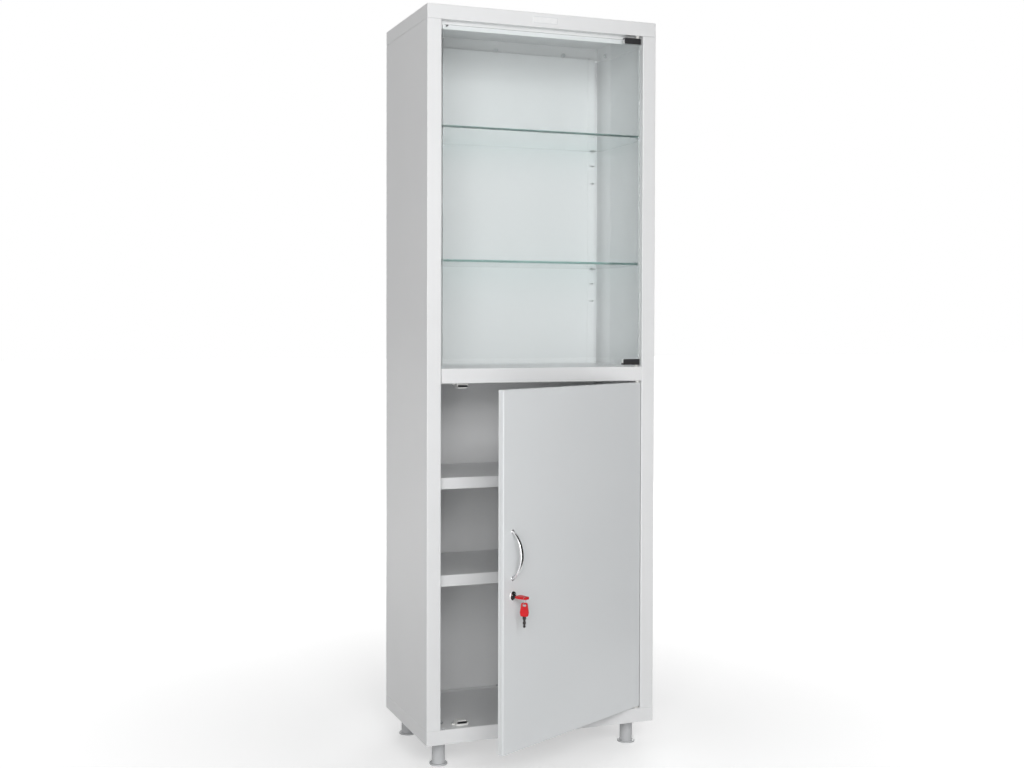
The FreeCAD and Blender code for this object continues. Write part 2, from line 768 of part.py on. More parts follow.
def glass_shelf(label, bottom):
    body = new_body(label)
    pad(body, "XY_Plane", bottom, [rectangle("-shelf_x", "shelf_front_y", "shelf_x", "shelf_back_y")],
        "glass_shelf_thickness")
    round_edges(body, "glass_corner_radius", lambda middle, run: upright(run))


def steel_shelf(label, bottom):
    body = new_body(label)
    pad(body, "XY_Plane", bottom, [rectangle("-shelf_x", "shelf_front_y", "shelf_x", "shelf_back_y")],
        "steel_shelf_height")
    round_edges(body, "bend_radius",
                lambda middle, run: near(middle.y, "shelf_front_y") and not near(middle.z, bottom))
    pocket(body, "XY_Plane", f"{bottom} - cut_overrun",
           [rectangle("-shelf_x + sheet_gauge", "shelf_front_y + sheet_gauge",
                      "shelf_x - sheet_gauge", "shelf_back_y - sheet_gauge")],
           "steel_shelf_height - sheet_gauge + cut_overrun")


def shelf_clip(side, face, inward, bottom):
    """A bent strip whose tongue hooks through a slot; the ledge points into the cabinet."""
    def along(near_step, far_step):
        ends = [f"{face} + {inward} * ({near_step})", f"{face} + {inward} * ({far_step})"]
        return ends if inward > 0 else ends[::-1]

    left = f"{side} * slot_x - clip_width / 2"
    right = f"{side} * slot_x + clip_width / 2"
    slot_z = f"{bottom} + ledge_drop"
    clip_top = f"{slot_z} + clip_gauge / 2"
    behind = "-sheet_gauge - clip_hook_gap"
    spans = [
        (along("0", "clip_ledge"), f"{bottom} - clip_gauge", bottom),
        (along("0", "clip_gauge"), f"{bottom} - clip_gauge", clip_top),
        (along(f"{behind} - clip_gauge", "clip_gauge"), f"{slot_z} - clip_gauge / 2", clip_top),
        (along(f"{behind} - clip_gauge", behind), f"{slot_z} - clip_hook", clip_top),
    ]
    return fuse(*[box((left, front, low), (right, back, high)) for (front, back), low, high in spans])


def clip_set(label, levels):
    clips = []
    for bottom in levels:
        for side in (-1, 1):
            clips.append(shelf_clip(side, "flange_y", -1, bottom))
            clips.append(shelf_clip(side, "stile_back_y", 1, bottom))
    group(label, clips)


glass_shelf("upper_glass_shelf", "upper_glass_z")
glass_shelf("lower_glass_shelf", "lower_glass_z")
steel_shelf("upper_steel_shelf", "upper_steel_z")
steel_shelf("lower_steel_shelf", "lower_steel_z")
clip_set("glass_shelf_clips", shelf_levels[:2])
clip_set("steel_shelf_clips", shelf_levels[2:])

# Legs with a wide foot, each drawn up to the base by a bolt from above
leg_bore = "leg_bolt_diameter + 2 * hole_clearance"
bore_bottom = "leg_length - leg_bolt_length"


def foot_rim(middle, run):
    reach = Vector(middle.x, middle.y, 0).Length
    return near(middle.z, "foot_thickness") and near(reach, "foot_diameter / 2")


for name, x, y in leg_places:
    leg = new_body(f"leg_{name}")
    half_section = polygon(("0", "0"), ("foot_diameter / 2", "0"), ("foot_diameter / 2", "foot_thickness"),
                           ("leg_diameter / 2", "foot_thickness"), ("leg_diameter / 2", "leg_length"),
                           (f"({leg_bore}) / 2", "leg_length"), (f"({leg_bore}) / 2", bore_bottom),
                           ("0", bore_bottom))
    turned(leg, "XZ_Plane", "0", ("0", "0"), [half_section], "V_Axis")
    round_edges(leg, "foot_edge_radius", foot_rim)
    place(leg, x, y, "0")

leg_bolts = []
leg_washers = []
washer_top = "base_top + leg_washer_thickness"
for name, x, y in leg_places:
    shank = rod((x, y, f"{bore_bottom} + sheet_gauge"), "leg_bolt_diameter / 2",
                f"{washer_top} - ({bore_bottom}) - sheet_gauge")
    head = rod((x, y, washer_top), "leg_bolt_head_diameter / 2", "leg_bolt_head_height")
    leg_bolts.append(fuse(shank, head))
    disc = rod((x, y, "base_top"), "leg_washer_diameter / 2", "leg_washer_thickness")
    eye = rod((x, y, "base_top - cut_overrun"), f"({leg_bore}) / 2", "leg_washer_thickness + 2 * cut_overrun")
    leg_washers.append(cut(disc, eye))
group("leg_bolts", leg_bolts)
group("leg_washers", leg_washers)


# Bolts and nuts of the frame

def shifted(start, axis, step):
    moved = list(start)
    index = "xyz".index(axis)
    moved[index] = f"{moved[index]} + ({step})"
    return tuple(moved)


def frame_bolt(x, y):
    """Head on a foot fold, nut under the base's floor."""
    reach = "(2 * sheet_gauge + nut_height + bolt_end)"
    head_z = "base_top + sheet_gauge"
    nut_z = "base_top - sheet_gauge - nut_height"
    shank = rod((x, y, f"{head_z} - {reach}"), "bolt_diameter / 2", reach, "z")
    head = rod((x, y, head_z), "bolt_head_diameter / 2", "bolt_head_height", "z")
    nut = hexagon((x, y, nut_z), "nut_width", "nut_height", "z")
    eye = rod((x, y, f"{nut_z} - cut_overrun"), f"({bolt_hole}) / 2", "nut_height + 2 * cut_overrun", "z")
    return fuse(shank, head), cut(nut, eye)


bolted = [frame_bolt(x, y) for x, y in foot_bolt_places]
group("frame_bolts", [bolt for bolt, nut in bolted])
group("frame_nuts", [nut for bolt, nut in bolted])

# Studs welded inside the cap's skirt, with the nuts that hold the panels' tongues and the back
cap_studs = []
cap_nuts = []
stud_reach = "(sheet_gauge + nut_height + bolt_end)"


def cap_stud(foot, axis, way):
    """A stud from the skirt's inner face, with its nut on the sheet that lies there."""
    stud_start = foot if way > 0 else shifted(foot, axis, f"-{stud_reach}")
    nut_start = shifted(foot, axis, "sheet_gauge" if way > 0 else "-sheet_gauge - nut_height")
    cap_studs.append(rod(stud_start, "bolt_diameter / 2", stud_reach, axis))
    nut = hexagon(nut_start, "nut_width", "nut_height", axis)
    eye = rod(shifted(nut_start, axis, "-cut_overrun"), f"({bolt_hole}) / 2",
              "nut_height + 2 * cut_overrun", axis)
    cap_nuts.append(cut(nut, eye))


for end in (-1, 1):
    cap_stud(("-wall_x", f"{end} * stud_spacing / 2", "stud_z"), "x", 1)
    cap_stud(("wall_x", f"{end} * stud_spacing / 2", "stud_z"), "x", -1)
for x in rear_bolt_places:
    cap_stud((x, "skirt_y", "rear_stud_z"), "y", -1)
group("cap_studs", cap_studs)
group("cap_nuts", cap_nuts)


def small_screw(start, axis, way, grip="0"):
    """A pan head on a face and a shank that runs on through it."""
    reach = f"({grip} + screw_length)"
    shank_start = start if way > 0 else shifted(start, axis, f"-{reach}")
    head_start = shifted(start, axis, "-screw_head_height") if way > 0 else start
    return fuse(rod(shank_start, "screw_diameter / 2", reach, axis),
                rod(head_start, "screw_head_diameter / 2", "screw_head_height", axis))


group("deck_screws", [small_screw((f"{side} * (deck_end_x - sheet_gauge)", deck_screw_y, z), "x", side)
                      for side in (-1, 1) for z in deck_screw_levels])
group("stop_rail_screws", [small_screw((x, rail_screw_y, "cap_bottom - sheet_gauge"), "z", 1)
                           for x in rail_screw_places])


# Magnetic catches: a plastic case with ears, screwed to the lip of the deck and to the base

def catch(name, face, way):
    """Built away from the face that carries it, way +1 for upwards and -1 for downwards."""
    def rise(low, high):
        ends = [f"{face} + {way} * ({low})", f"{face} + {way} * ({high})"]
        return ends if way > 0 else ends[::-1]

    case_low, case_high = rise("0", "catch_height")
    ear_low, ear_high = rise("0", "catch_ear_height")
    magnet_low, magnet_high = rise("magnet_level - magnet_height / 2", "magnet_level + magnet_height / 2")
    case = box(("catch_x - catch_width / 2", "catch_y", case_low),
               ("catch_x + catch_width / 2", "catch_y + catch_depth", case_high))
    ears = box(("catch_x - catch_width / 2 - catch_ear", "catch_y + catch_depth - catch_ear_depth", ear_low),
               ("catch_x + catch_width / 2 + catch_ear", "catch_y + catch_depth", ear_high))
    recess_half = "(magnet_width / 2 + catch_gap)"
    recess = box((f"catch_x - {recess_half}", "catch_y - cut_overrun", f"{magnet_low} - catch_gap"),
                 (f"catch_x + {recess_half}", "catch_y + magnet_depth", f"{magnet_high} + catch_gap"))
    eyes = [rod((x, "catch_screw_y", f"{ear_low} - cut_overrun"), f"({screw_hole}) / 2",
                "catch_ear_height + 2 * cut_overrun") for x in catch_screw_places]
    keep(cut(fuse(case, ears), recess, *eyes), f"{name}_catch_case")
    magnet = box(("catch_x - magnet_width / 2", "catch_y - catch_gap", magnet_low),
                 ("catch_x + magnet_width / 2", "catch_y + magnet_depth", magnet_high))
    keep(magnet, f"{name}_catch_magnet")
    seat = ear_high if way > 0 else ear_low
    return [small_screw((x, "catch_screw_y", seat), "z", -way, "catch_ear_height")
            for x in catch_screw_places]


catch_screws = catch("upper", "deck_bottom", -1) + catch("lower", "base_top", 1)
group("catch_screws", catch_screws)

# Hinge pins of the lower door, headed on the hidden side of the sheet that carries each one
low_head = "base_top - sheet_gauge - door_pin_head_height"
high_head = "deck_bottom + sheet_gauge"


def door_pin(start, head_start):
    reach = "door_pin_head_height + sheet_gauge + door_pin_reach"
    shank = rod(("door_axis_x", "door_axis_y", start), "door_pin_diameter / 2", reach)
    head = rod(("door_axis_x", "door_axis_y", head_start), "door_pin_head_diameter / 2",
               "door_pin_head_height")
    return fuse(shank, head)


group("lower_door_pins", [door_pin(low_head, low_head), door_pin("deck_bottom - door_pin_reach", high_head)])

# Glass door: a bare pane in two clamps that turn on pins
pane_back = "(pane_axis_y + pane_thickness / 2)"
pane_front = "(pane_axis_y - pane_thickness / 2)"
pane = new_body("glass_pane")
pad(pane, "XZ_Plane", pane_front, [rectangle("pane_left_x", "pane_bottom", "pane_right_x", "pane_top")],
    "pane_thickness")
round_edges(pane, "glass_corner_radius", lambda middle, run: fore_and_aft(run))
clamp_front = "(pane_axis_y - clamp_thickness / 2)"
clamp_back = "(pane_axis_y + clamp_thickness / 2)"
clamp_left_x = "(clamp_right_x - clamp_length)"
clamp_screw_xs = [f"{clamp_left_x} + clamp_screw_inset + {step} * clamp_screw_spacing" for step in (0, 1)]


def pane_clamp(name, edge, way):
    """The clamp grips the pane from one of its edges: way +1 where it reaches upwards from that edge."""
    floor = f"({edge} - {way} * (clamp_height - clamp_slot_depth))"
    low, high = (floor, f"{floor} + clamp_height") if way > 0 else (f"{floor} - clamp_height", floor)
    body = new_body(f"{name}_pane_clamp")
    pad(body, "XZ_Plane", clamp_front, [rectangle(clamp_left_x, low, "clamp_right_x", high)],
        "clamp_thickness")
    free_end = high if way > 0 else low

    def free_corner(middle, run):
        return fore_and_aft(run) and near(middle.x, clamp_left_x) and near(middle.z, free_end)

    round_edges(body, "clamp_corner_radius", free_corner)
    slot_far = f"{edge} + {way} * (clamp_slot_depth + cut_overrun)"
    slot = rectangle(f"{clamp_left_x} - cut_overrun", edge, "clamp_right_x + cut_overrun", slot_far)
    half_slot = "(pane_thickness / 2 + clamp_wall_gap)"
    pocket(body, "XZ_Plane", f"pane_axis_y - {half_slot}", [slot], f"2 * {half_slot}")
    bore = circle("pane_axis_x", "pane_axis_y", "pane_pin_diameter + 2 * pin_clearance")
    start = f"{floor} - {way} * cut_overrun"
    pocket(body, "XY_Plane", start, [bore], "clamp_height - clamp_slot_depth + 2 * cut_overrun", way)
    screw_z = f"({edge} + {way} * clamp_slot_depth / 2)"
    wall = f"(clamp_thickness / 2 - {half_slot})"
    holes = [circle(x, screw_z, screw_hole) for x in clamp_screw_xs]
    pocket(body, "XZ_Plane", f"{clamp_back} + cut_overrun", holes, f"{wall} + 2 * cut_overrun", -1)
    pad_end = f"{edge} + {way} * clamp_slot_depth"
    pad_low, pad_high = (edge, pad_end) if way > 0 else (pad_end, edge)
    pads = [box((clamp_left_x, f"pane_axis_y - {half_slot}", pad_low),
                ("clamp_right_x", pane_front, pad_high)),
            box((clamp_left_x, pane_back, pad_low),
                ("clamp_right_x", f"pane_axis_y + {half_slot}", pad_high))]
    screws = [rod((x, f"pane_axis_y + {half_slot}", screw_z), "screw_diameter / 2",
                  f"{wall} + clamp_screw_proud", "y") for x in clamp_screw_xs]
    return pads, screws


lower_pads, lower_screws = pane_clamp("lower", "pane_bottom", 1)
upper_pads, upper_screws = pane_clamp("upper", "pane_top", -1)
group("clamp_pads", lower_pads + upper_pads)
group("clamp_screws", lower_screws + upper_screws)

# Pins of the glass door, held in the deck and in the cap, and the bushes that space the clamps from them
clamp_floor = "(clamp_height - clamp_slot_depth)"
low_floor_z = f"(pane_bottom - {clamp_floor})"
high_floor_z = f"(pane_top + {clamp_floor})"


def pane_pin(low, high):
    return rod(("pane_axis_x", "pane_axis_y", low), "pane_pin_diameter / 2", f"{high} - ({low})")


def pane_bush(low, high):
    length = f"{high} - ({low})"
    sleeve = rod(("pane_axis_x", "pane_axis_y", low), "pane_bush_diameter / 2", length)
    eye = rod(("pane_axis_x", "pane_axis_y", f"{low} - cut_overrun"),
              "pane_pin_diameter / 2 + pin_clearance", f"{length} + 2 * cut_overrun")
    return cut(sleeve, eye)


group("glass_door_pins", [pane_pin("deck_top - sheet_gauge - bolt_end", "pane_bottom - pane_pin_end_gap"),
                          pane_pin("pane_top + pane_pin_end_gap", "cap_bottom + sheet_gauge + bolt_end")])
group("glass_door_bushes", [pane_bush("deck_top + pane_bush_gap", low_floor_z),
                            pane_bush(high_floor_z, "cap_bottom - pane_bush_gap")])

# Rubber bumper in the stop rail, just behind the pane
bumper_front = f"{pane_back} + bumper_gap"
bumper_head = rod(("bumper_x", bumper_front, "bumper_z"), "bumper_diameter / 2", f"rail_y - ({bumper_front})",
                  "y")
bumper_stem = rod(("bumper_x", "rail_y", "bumper_z"), "bumper_stem_diameter / 2",
                  "sheet_gauge + bumper_stem_end", "y")
keep(fuse(bumper_head, bumper_stem), "glass_door_bumper")

# Lower door: two shallow pans, face and back, that meet at a seam half way through the edge
door_outline = rectangle("door_free_x", "door_bottom", "door_hinge_x", "door_top")
door_inside = rectangle("door_free_x + sheet_gauge", "door_bottom + sheet_gauge",
                        "door_hinge_x - sheet_gauge", "door_top - sheet_gauge")
handle_ends = [f"handle_z + {end} * handle_spacing / 2" for end in (-1, 1)]
handle_hole = "handle_screw_diameter + 2 * hole_clearance"
door_holes = [circle("handle_x", z, handle_hole) for z in handle_ends]
door_holes.append(circle("lock_x", "lock_z", "lock_barrel_diameter + 2 * hole_clearance"))


def door_shell(label, face, way):
    """A pan whose sheet lies at face and whose rim runs towards the seam."""
    body = new_body(label)
    pad(body, "XZ_Plane", face, [door_outline], "door_shell_depth", way)
    round_edges(body, "bend_radius",
                lambda middle, run: near(middle.y, face) and abs(run.y) < same_place)
    rim = f"{face} + {way} * (door_shell_depth + cut_overrun)"
    pocket(body, "XZ_Plane", rim, [door_inside], "door_shell_depth + cut_overrun - sheet_gauge", -way)
    through(body, "XZ_Plane", face, door_holes, way)
    bush_hole = [circle("0", "0", "bush_diameter + 2 * hole_clearance")]
    through(body, "XY_Plane", "door_bottom", bush_hole)
    through(body, "XY_Plane", "door_top", bush_hole, -1)
    return on_door(body)


door_shell("lower_door_face", "door_face_y", 1)
door_shell("lower_door_back", "door_back_y", -1)

# Channel inside the door, between face and back
stiffener = new_body("lower_door_stiffener")
inner_face = "(door_face_y + sheet_gauge)"
inner_back = "(door_back_y - sheet_gauge)"
channel_middle = "((door_free_x + door_hinge_x) / 2)"
channel_left = f"({channel_middle} - stiffener_width / 2)"
channel_right = f"({channel_middle} + stiffener_width / 2)"
channel = polygon((channel_left, inner_face), (channel_right, inner_face), (channel_right, inner_back),
                  (f"{channel_right} - sheet_gauge", inner_back),
                  (f"{channel_right} - sheet_gauge", f"{inner_face} + sheet_gauge"),
                  (f"{channel_left} + sheet_gauge", f"{inner_face} + sheet_gauge"),
                  (f"{channel_left} + sheet_gauge", inner_back), (channel_left, inner_back))
pad(stiffener, "XY_Plane", "door_bottom + stiffener_end_gap", [channel],
    "door_top - door_bottom - 2 * stiffener_end_gap")
on_door(stiffener)


# Nylon bushes in the door's ends

def door_bush(label, rim, far, way):
    """Flange in the gap beyond the rim, sleeve inside the door: way +1 where the door lies above."""
    flange_low, flange_high = (far, rim) if way > 0 else (rim, far)
    sleeve_low = rim if way > 0 else f"{rim} - bush_length"
    flange = rod(("0", "0", flange_low), "bush_flange_diameter / 2", f"{flange_high} - ({flange_low})")
    sleeve = rod(("0", "0", sleeve_low), "bush_diameter / 2", "bush_length")
    bore_low = flange_low if way > 0 else sleeve_low
    bore = rod(("0", "0", f"{bore_low} - cut_overrun"), "door_pin_diameter / 2 + pin_clearance",
               f"bush_length + ({flange_high}) - ({flange_low}) + 2 * cut_overrun")
    on_door(keep(cut(fuse(flange, sleeve), bore), label))


door_bush("lower_door_bottom_bush", "door_bottom", "base_top + bush_float", 1)
door_bush("lower_door_top_bush", "door_top", "deck_bottom - bush_float", -1)

# Bow handle: a flat bar bent to an arc, on two round feet
handle = new_body("bow_handle")
bar_section = rectangle("-handle_bar_width / 2", "-handle_radius - handle_bar_depth / 2",
                        "handle_bar_width / 2", "-handle_radius + handle_bar_depth / 2")
turned(handle, "XY_Plane", "handle_z", ("handle_x", "handle_centre_y"), [bar_section], "H_Axis",
       "2 * asin(handle_spacing / 2 / handle_radius)")
round_edges(handle, "handle_edge_radius",
            lambda middle, run: abs(run.z) > number("handle_spacing") / 2)
pad(handle, "XZ_Plane", "door_face_y", [circle("handle_x", z, "handle_bar_width") for z in handle_ends],
    "handle_foot_height", -1)
pocket(handle, "XZ_Plane", "door_face_y + cut_overrun",
       [circle("handle_x", z, handle_hole) for z in handle_ends],
       "handle_screw_grip + handle_screw_end_gap + cut_overrun", -1)
on_door(handle)

handle_screws = []
for z in handle_ends:
    shank = rod(("handle_x", "door_face_y - handle_screw_grip", z), "handle_screw_diameter / 2",
                "door_thickness + handle_screw_grip", "y")
    head = rod(("handle_x", "door_back_y", z), "handle_screw_head_diameter / 2",
               "handle_screw_head_height", "y")
    handle_screws.append(fuse(shank, head))
on_door(group("handle_screws", handle_screws))

# Steel strikes on the door's back, in front of the catches
strike_left = "(catch_x - door_axis_x - strike_width / 2)"
strike_lows = ["door_top - strike_edge_gap - strike_height", "door_bottom + strike_edge_gap"]
on_door(group("strike_plates", [
    box((strike_left, "door_back_y", low),
        (f"{strike_left} + strike_width", "door_back_y + strike_thickness", f"{low} + strike_height"))
    for low in strike_lows]))

# Cam lock: domed housing through the door, nut behind it, plug and cam that the key turns
plug_bore = "(plug_diameter / 2 + plug_clearance)"
housing = new_body("lock_housing")
housing_section = polygon((plug_bore, "lock_face_y"), ("lock_dome_diameter / 2", "lock_face_y"),
                          ("lock_flange_diameter / 2", "door_face_y - lock_flange_rim"),
                          ("lock_flange_diameter / 2", "door_face_y"),
                          ("lock_barrel_diameter / 2", "door_face_y"),
                          ("lock_barrel_diameter / 2", "lock_rear_y"), (plug_bore, "lock_rear_y"))
turned(housing, "XY_Plane", "lock_z", ("lock_x", "0"), [housing_section], "V_Axis")
on_door(housing)

nut = hexagon(("lock_x", "door_back_y", "lock_z"), "lock_nut_width", "lock_nut_height", "y")
nut_eye = rod(("lock_x", "door_back_y - cut_overrun", "lock_z"), "lock_barrel_diameter / 2 + hole_clearance",
              "lock_nut_height + 2 * cut_overrun", "y")
on_door(keep(cut(nut, nut_eye), "lock_nut"))

keyway_end = "(blade_tip_y + keyway_gap)"
plug_body = rod(("lock_x", "lock_face_y", "lock_z"), "plug_diameter / 2", "cam_y - lock_face_y", "y")
tang = box(("lock_x - cam_square / 2", "cam_y", "lock_z - cam_square / 2"),
           ("lock_x + cam_square / 2", "cam_y + cam_gauge", "lock_z + cam_square / 2"))
keyway = box(("lock_x - blade_width / 2 - keyway_gap", "lock_face_y - cut_overrun",
              "lock_z - blade_gauge / 2 - keyway_gap"),
             ("lock_x + blade_width / 2 + keyway_gap", keyway_end, "lock_z + blade_gauge / 2 + keyway_gap"))
cam_back = "(cam_y + cam_gauge)"
tapped = rod(("lock_x", f"{cam_back} - cam_screw_length - hole_clearance", "lock_z"),
             "screw_diameter / 2 + hole_clearance", "cam_screw_length + hole_clearance + cut_overrun", "y")
on_door(keep(cut(fuse(plug_body, tang), keyway, tapped), "lock_plug"))

cam = new_body("lock_cam")
cam_half = "cam_width / 2"
pad(cam, "XZ_Plane", "cam_y", [rectangle(f"lock_x - {cam_half}", "lock_z - cam_tail",
                                         f"lock_x + {cam_half}", "lock_z + cam_length")], "cam_gauge")
round_edges(cam, "cam_width / 4", lambda middle, run: fore_and_aft(run))
eye_half = "(cam_square / 2 + hole_clearance)"
cam_eye = rectangle(f"lock_x - {eye_half}", f"lock_z - {eye_half}",
                    f"lock_x + {eye_half}", f"lock_z + {eye_half}")
pocket(cam, "XZ_Plane", "cam_y - cut_overrun", [cam_eye], "cam_gauge + 2 * cut_overrun")
on_door(cam)

cam_shank = rod(("lock_x", f"{cam_back} - cam_screw_length", "lock_z"), "screw_diameter / 2",
                "cam_screw_length", "y")
cam_head = rod(("lock_x", cam_back, "lock_z"), "cam_screw_head_diameter / 2", "cam_screw_head_height", "y")
on_door(keep(fuse(cam_shank, cam_head), "cam_screw"))


# Keys. In its own frame a key lies flat, its bow starts at the origin and runs to -Y, its blade runs to +Y.

def bow_outline():
    rows = [("bow_root_width", "0"), ("bow_width", "bow_belly_share"),
            ("bow_tip_width", "bow_shoulder_share"), ("bow_tip_width - bow_corner_radius", "1")]
    right = [(f"({width}) / 2", f"-bow_length * {share}") for width, share in rows]
    left = [(f"-({width}) / 2", y) for (width, share), (x, y) in zip(rows, right)]
    return polygon(*(right + left[::-1]))


def blade_outline():
    half = "blade_width / 2"
    waist = "(blade_width / 2 - blade_notch)"
    tip = "blade_width * blade_point_share / 2"
    side = [(half, "-blade_root")]
    for share in ("first_notch_share", "second_notch_share"):
        side.append((half, f"blade_length * ({share} - notch_half_share)"))
        side.append((waist, f"blade_length * {share}"))
        side.append((half, f"blade_length * ({share} + notch_half_share)"))
    side.append((half, "blade_length - blade_width * blade_point_share"))
    side.append((tip, "blade_length"))
    return polygon(*(side + [(f"-({x})", y) for x, y in side[::-1]]))


def key(prefix, carry):
    bow = doc.addObject("PartDesign::Body", "Bow")
    pad(bow, "XY_Plane", "-bow_thickness / 2", [bow_outline()], "bow_thickness")
    shoulder = number("-bow_length * bow_shoulder_share")
    round_edges(bow, "bow_corner_radius", lambda middle, run: upright(run) and shoulder < middle.y < 0)
    round_edges(bow, "bow_edge_radius", lambda middle, run: level_run(run) and not near(middle.y, "0"))
    bow_hole = rectangle("-bow_hole_width / 2", "-hole_far_y",
                         "bow_hole_width / 2", "-hole_far_y + bow_hole_length")
    pocket(bow, "XY_Plane", "-bow_thickness / 2 - cut_overrun", [bow_hole],
           "bow_thickness + 2 * cut_overrun")
    socket_half = "(blade_gauge / 2 + hole_clearance)"
    pocket(bow, "XY_Plane", f"-{socket_half}",
           [rectangle("-blade_width / 2 - hole_clearance", "-blade_root - hole_clearance",
                      "blade_width / 2 + hole_clearance", "cut_overrun")], f"2 * {socket_half}")
    blade = doc.addObject("PartDesign::Body", "Blade")
    pad(blade, "XY_Plane", "-blade_gauge / 2", [blade_outline()], "blade_gauge")
    carry(bow, f"{prefix}_bow")
    carry(blade, f"{prefix}_blade")


def in_lock(item, label):
    on_door(keep(item, label), "lock_x", "bow_near_y", "lock_z")


key("key", in_lock)

# Split ring through the bow of the key in the lock
ring = doc.addObject("Part::Torus", "Ring")
bind(ring, Radius1="ring_radius", Radius2="ring_wire_diameter / 2")
ring.Placement = FreeCAD.Placement(Vector(), FreeCAD.Rotation(Vector(1, 0, 0), 90))
upright_ring = doc.addObject("Part::Compound", "UprightRing")
upright_ring.Links = [ring]
on_door(keep(upright_ring, "key_ring"), "ring_x", "ring_y", "ring_z", "ring_turn")

# Spare key that hangs from the ring, blade down and square to the ring
hang_turn = FreeCAD.Rotation(Vector(0, 0, 1), 90).multiply(FreeCAD.Rotation(Vector(1, 0, 0), -90))


def hang(item, label):
    item.Placement = FreeCAD.Placement(Vector(), hang_turn)
    place(item, "0", "0", "spare_top - bow_length")
    carrier = doc.addObject("Part::Compound", "Hung")
    carrier.Links = [item]
    on_door(keep(carrier, label), "ring_x", "ring_y", "ring_z", "ring_turn")


key("spare_key", hang)

doc.recompute()
for item in doc.Objects:
    if "Invalid" in item.State or "Error" in item.State:
        raise RuntimeError(f"{item.Label} failed: {item.State}")
for item in nodes:
    if item.Shape.isNull() or not item.Shape.isValid() or not item.Shape.Solids:
        raise RuntimeError(f"{item.Label} has no valid solid")
for item in nodes:
    item.Shape.exportStep(f"parts/{item.Label}.step")
print(len(nodes), "nodes written")
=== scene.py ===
import json
import math

import bmesh
import bpy
from mathutils import Euler, Matrix, Vector

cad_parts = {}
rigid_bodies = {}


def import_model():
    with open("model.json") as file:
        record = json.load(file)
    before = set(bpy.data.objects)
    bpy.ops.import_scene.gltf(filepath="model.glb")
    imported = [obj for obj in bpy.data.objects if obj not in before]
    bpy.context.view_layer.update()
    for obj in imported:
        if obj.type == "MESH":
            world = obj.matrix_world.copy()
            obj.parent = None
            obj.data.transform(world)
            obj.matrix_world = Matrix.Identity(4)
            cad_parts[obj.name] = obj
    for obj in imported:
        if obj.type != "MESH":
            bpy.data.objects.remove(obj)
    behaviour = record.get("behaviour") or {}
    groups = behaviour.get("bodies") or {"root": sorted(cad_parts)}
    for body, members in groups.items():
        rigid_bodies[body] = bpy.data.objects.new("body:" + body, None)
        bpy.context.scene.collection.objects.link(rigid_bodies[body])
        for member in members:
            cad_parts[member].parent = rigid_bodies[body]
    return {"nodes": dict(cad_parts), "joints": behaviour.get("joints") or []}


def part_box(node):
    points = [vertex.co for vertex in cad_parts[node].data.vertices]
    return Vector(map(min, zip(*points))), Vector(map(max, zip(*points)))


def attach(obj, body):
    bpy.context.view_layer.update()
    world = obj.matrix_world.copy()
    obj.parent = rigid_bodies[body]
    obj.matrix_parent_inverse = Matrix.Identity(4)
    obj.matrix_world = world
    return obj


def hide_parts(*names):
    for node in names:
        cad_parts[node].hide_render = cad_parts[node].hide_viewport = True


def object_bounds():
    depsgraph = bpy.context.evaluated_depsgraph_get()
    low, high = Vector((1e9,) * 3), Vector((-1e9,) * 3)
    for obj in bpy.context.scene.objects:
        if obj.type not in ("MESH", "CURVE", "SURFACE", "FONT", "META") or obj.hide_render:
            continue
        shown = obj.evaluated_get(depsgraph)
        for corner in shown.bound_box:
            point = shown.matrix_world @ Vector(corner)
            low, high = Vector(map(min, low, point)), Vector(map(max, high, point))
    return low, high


for leftover in list(bpy.data.objects):  # the start-up cube, lamp and camera
    bpy.data.objects.remove(leftover)
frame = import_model()
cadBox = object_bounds()
scene = bpy.context.scene
nodes = frame["nodes"]
joints = {joint["name"]: joint for joint in frame["joints"]}
mm = 0.001
unmoved = Matrix.Identity(4)
shift = Matrix.Translation
upright = Matrix.Rotation(math.pi / 2, 4, "X")  # stands a flat shape up
print("frame loaded:", len(nodes), "nodes")

# the lower door stands open at rest: its pieces are drawn on the shut door and turned with this
doorHinge = joints["lower_door_hinge"]
doorAxis = Vector(doorHinge["pos_m"])
doorAngle = math.radians(-doorHinge["range_deg"][0])
doorPlace = shift(doorAxis) @ Matrix.Rotation(doorAngle, 4, "Z") @ shift(-doorAxis)


# ways to draw a shape

weldWithin = 1e-6
onAxis = 1e-7
flatWithin = 0.002
fillFlat = 0.01


def loosePart(node, place=unmoved):
    shell = bmesh.new()
    shell.from_mesh(nodes[node].data)
    bmesh.ops.remove_doubles(shell, verts=shell.verts, dist=weldWithin)
    shell.transform(place.inverted())
    return shell


def solidsOf(node, place=unmoved):
    # low and high corner of each solid in a node
    shell = loosePart(node, place)
    found = set()
    corners = []
    for start in shell.verts:
        if start in found:
            continue
        group = [start]
        found.add(start)
        for vert in group:
            for edge in vert.link_edges:
                other = edge.other_vert(vert)
                if other not in found:
                    found.add(other)
                    group.append(other)
        low = Vector([min(vert.co[axis] for vert in group) for axis in range(3)])
        high = Vector([max(vert.co[axis] for vert in group) for axis in range(3)])
        corners.append((low, high))
    shell.free()
    return sorted(corners, key=lambda pair: tuple(round(value, ndigits=5) for value in pair[0]))


def middle(corners):
    return (corners[0] + corners[1]) / 2


def lyingAlong(axis):
    # turns a shape's Z to an axis
    return Vector(axis).to_track_quat("Z", "Y").to_matrix().to_4x4()


def dissolveFlat(shape, angle):
    bmesh.ops.dissolve_limit(shape, angle_limit=angle, verts=shape.verts[:], edges=shape.edges[:])


def softenEdges(shape, width, steps=2, angle=35):
    sharp = [edge for edge in shape.edges
             if len(edge.link_faces) == 2 and edge.calc_face_angle() > math.radians(angle)]
    bmesh.ops.bevel(shape, geom=sharp, offset=width, offset_type="OFFSET", segments=steps,
                    profile=0.5, affect="EDGES", clamp_overlap=True)


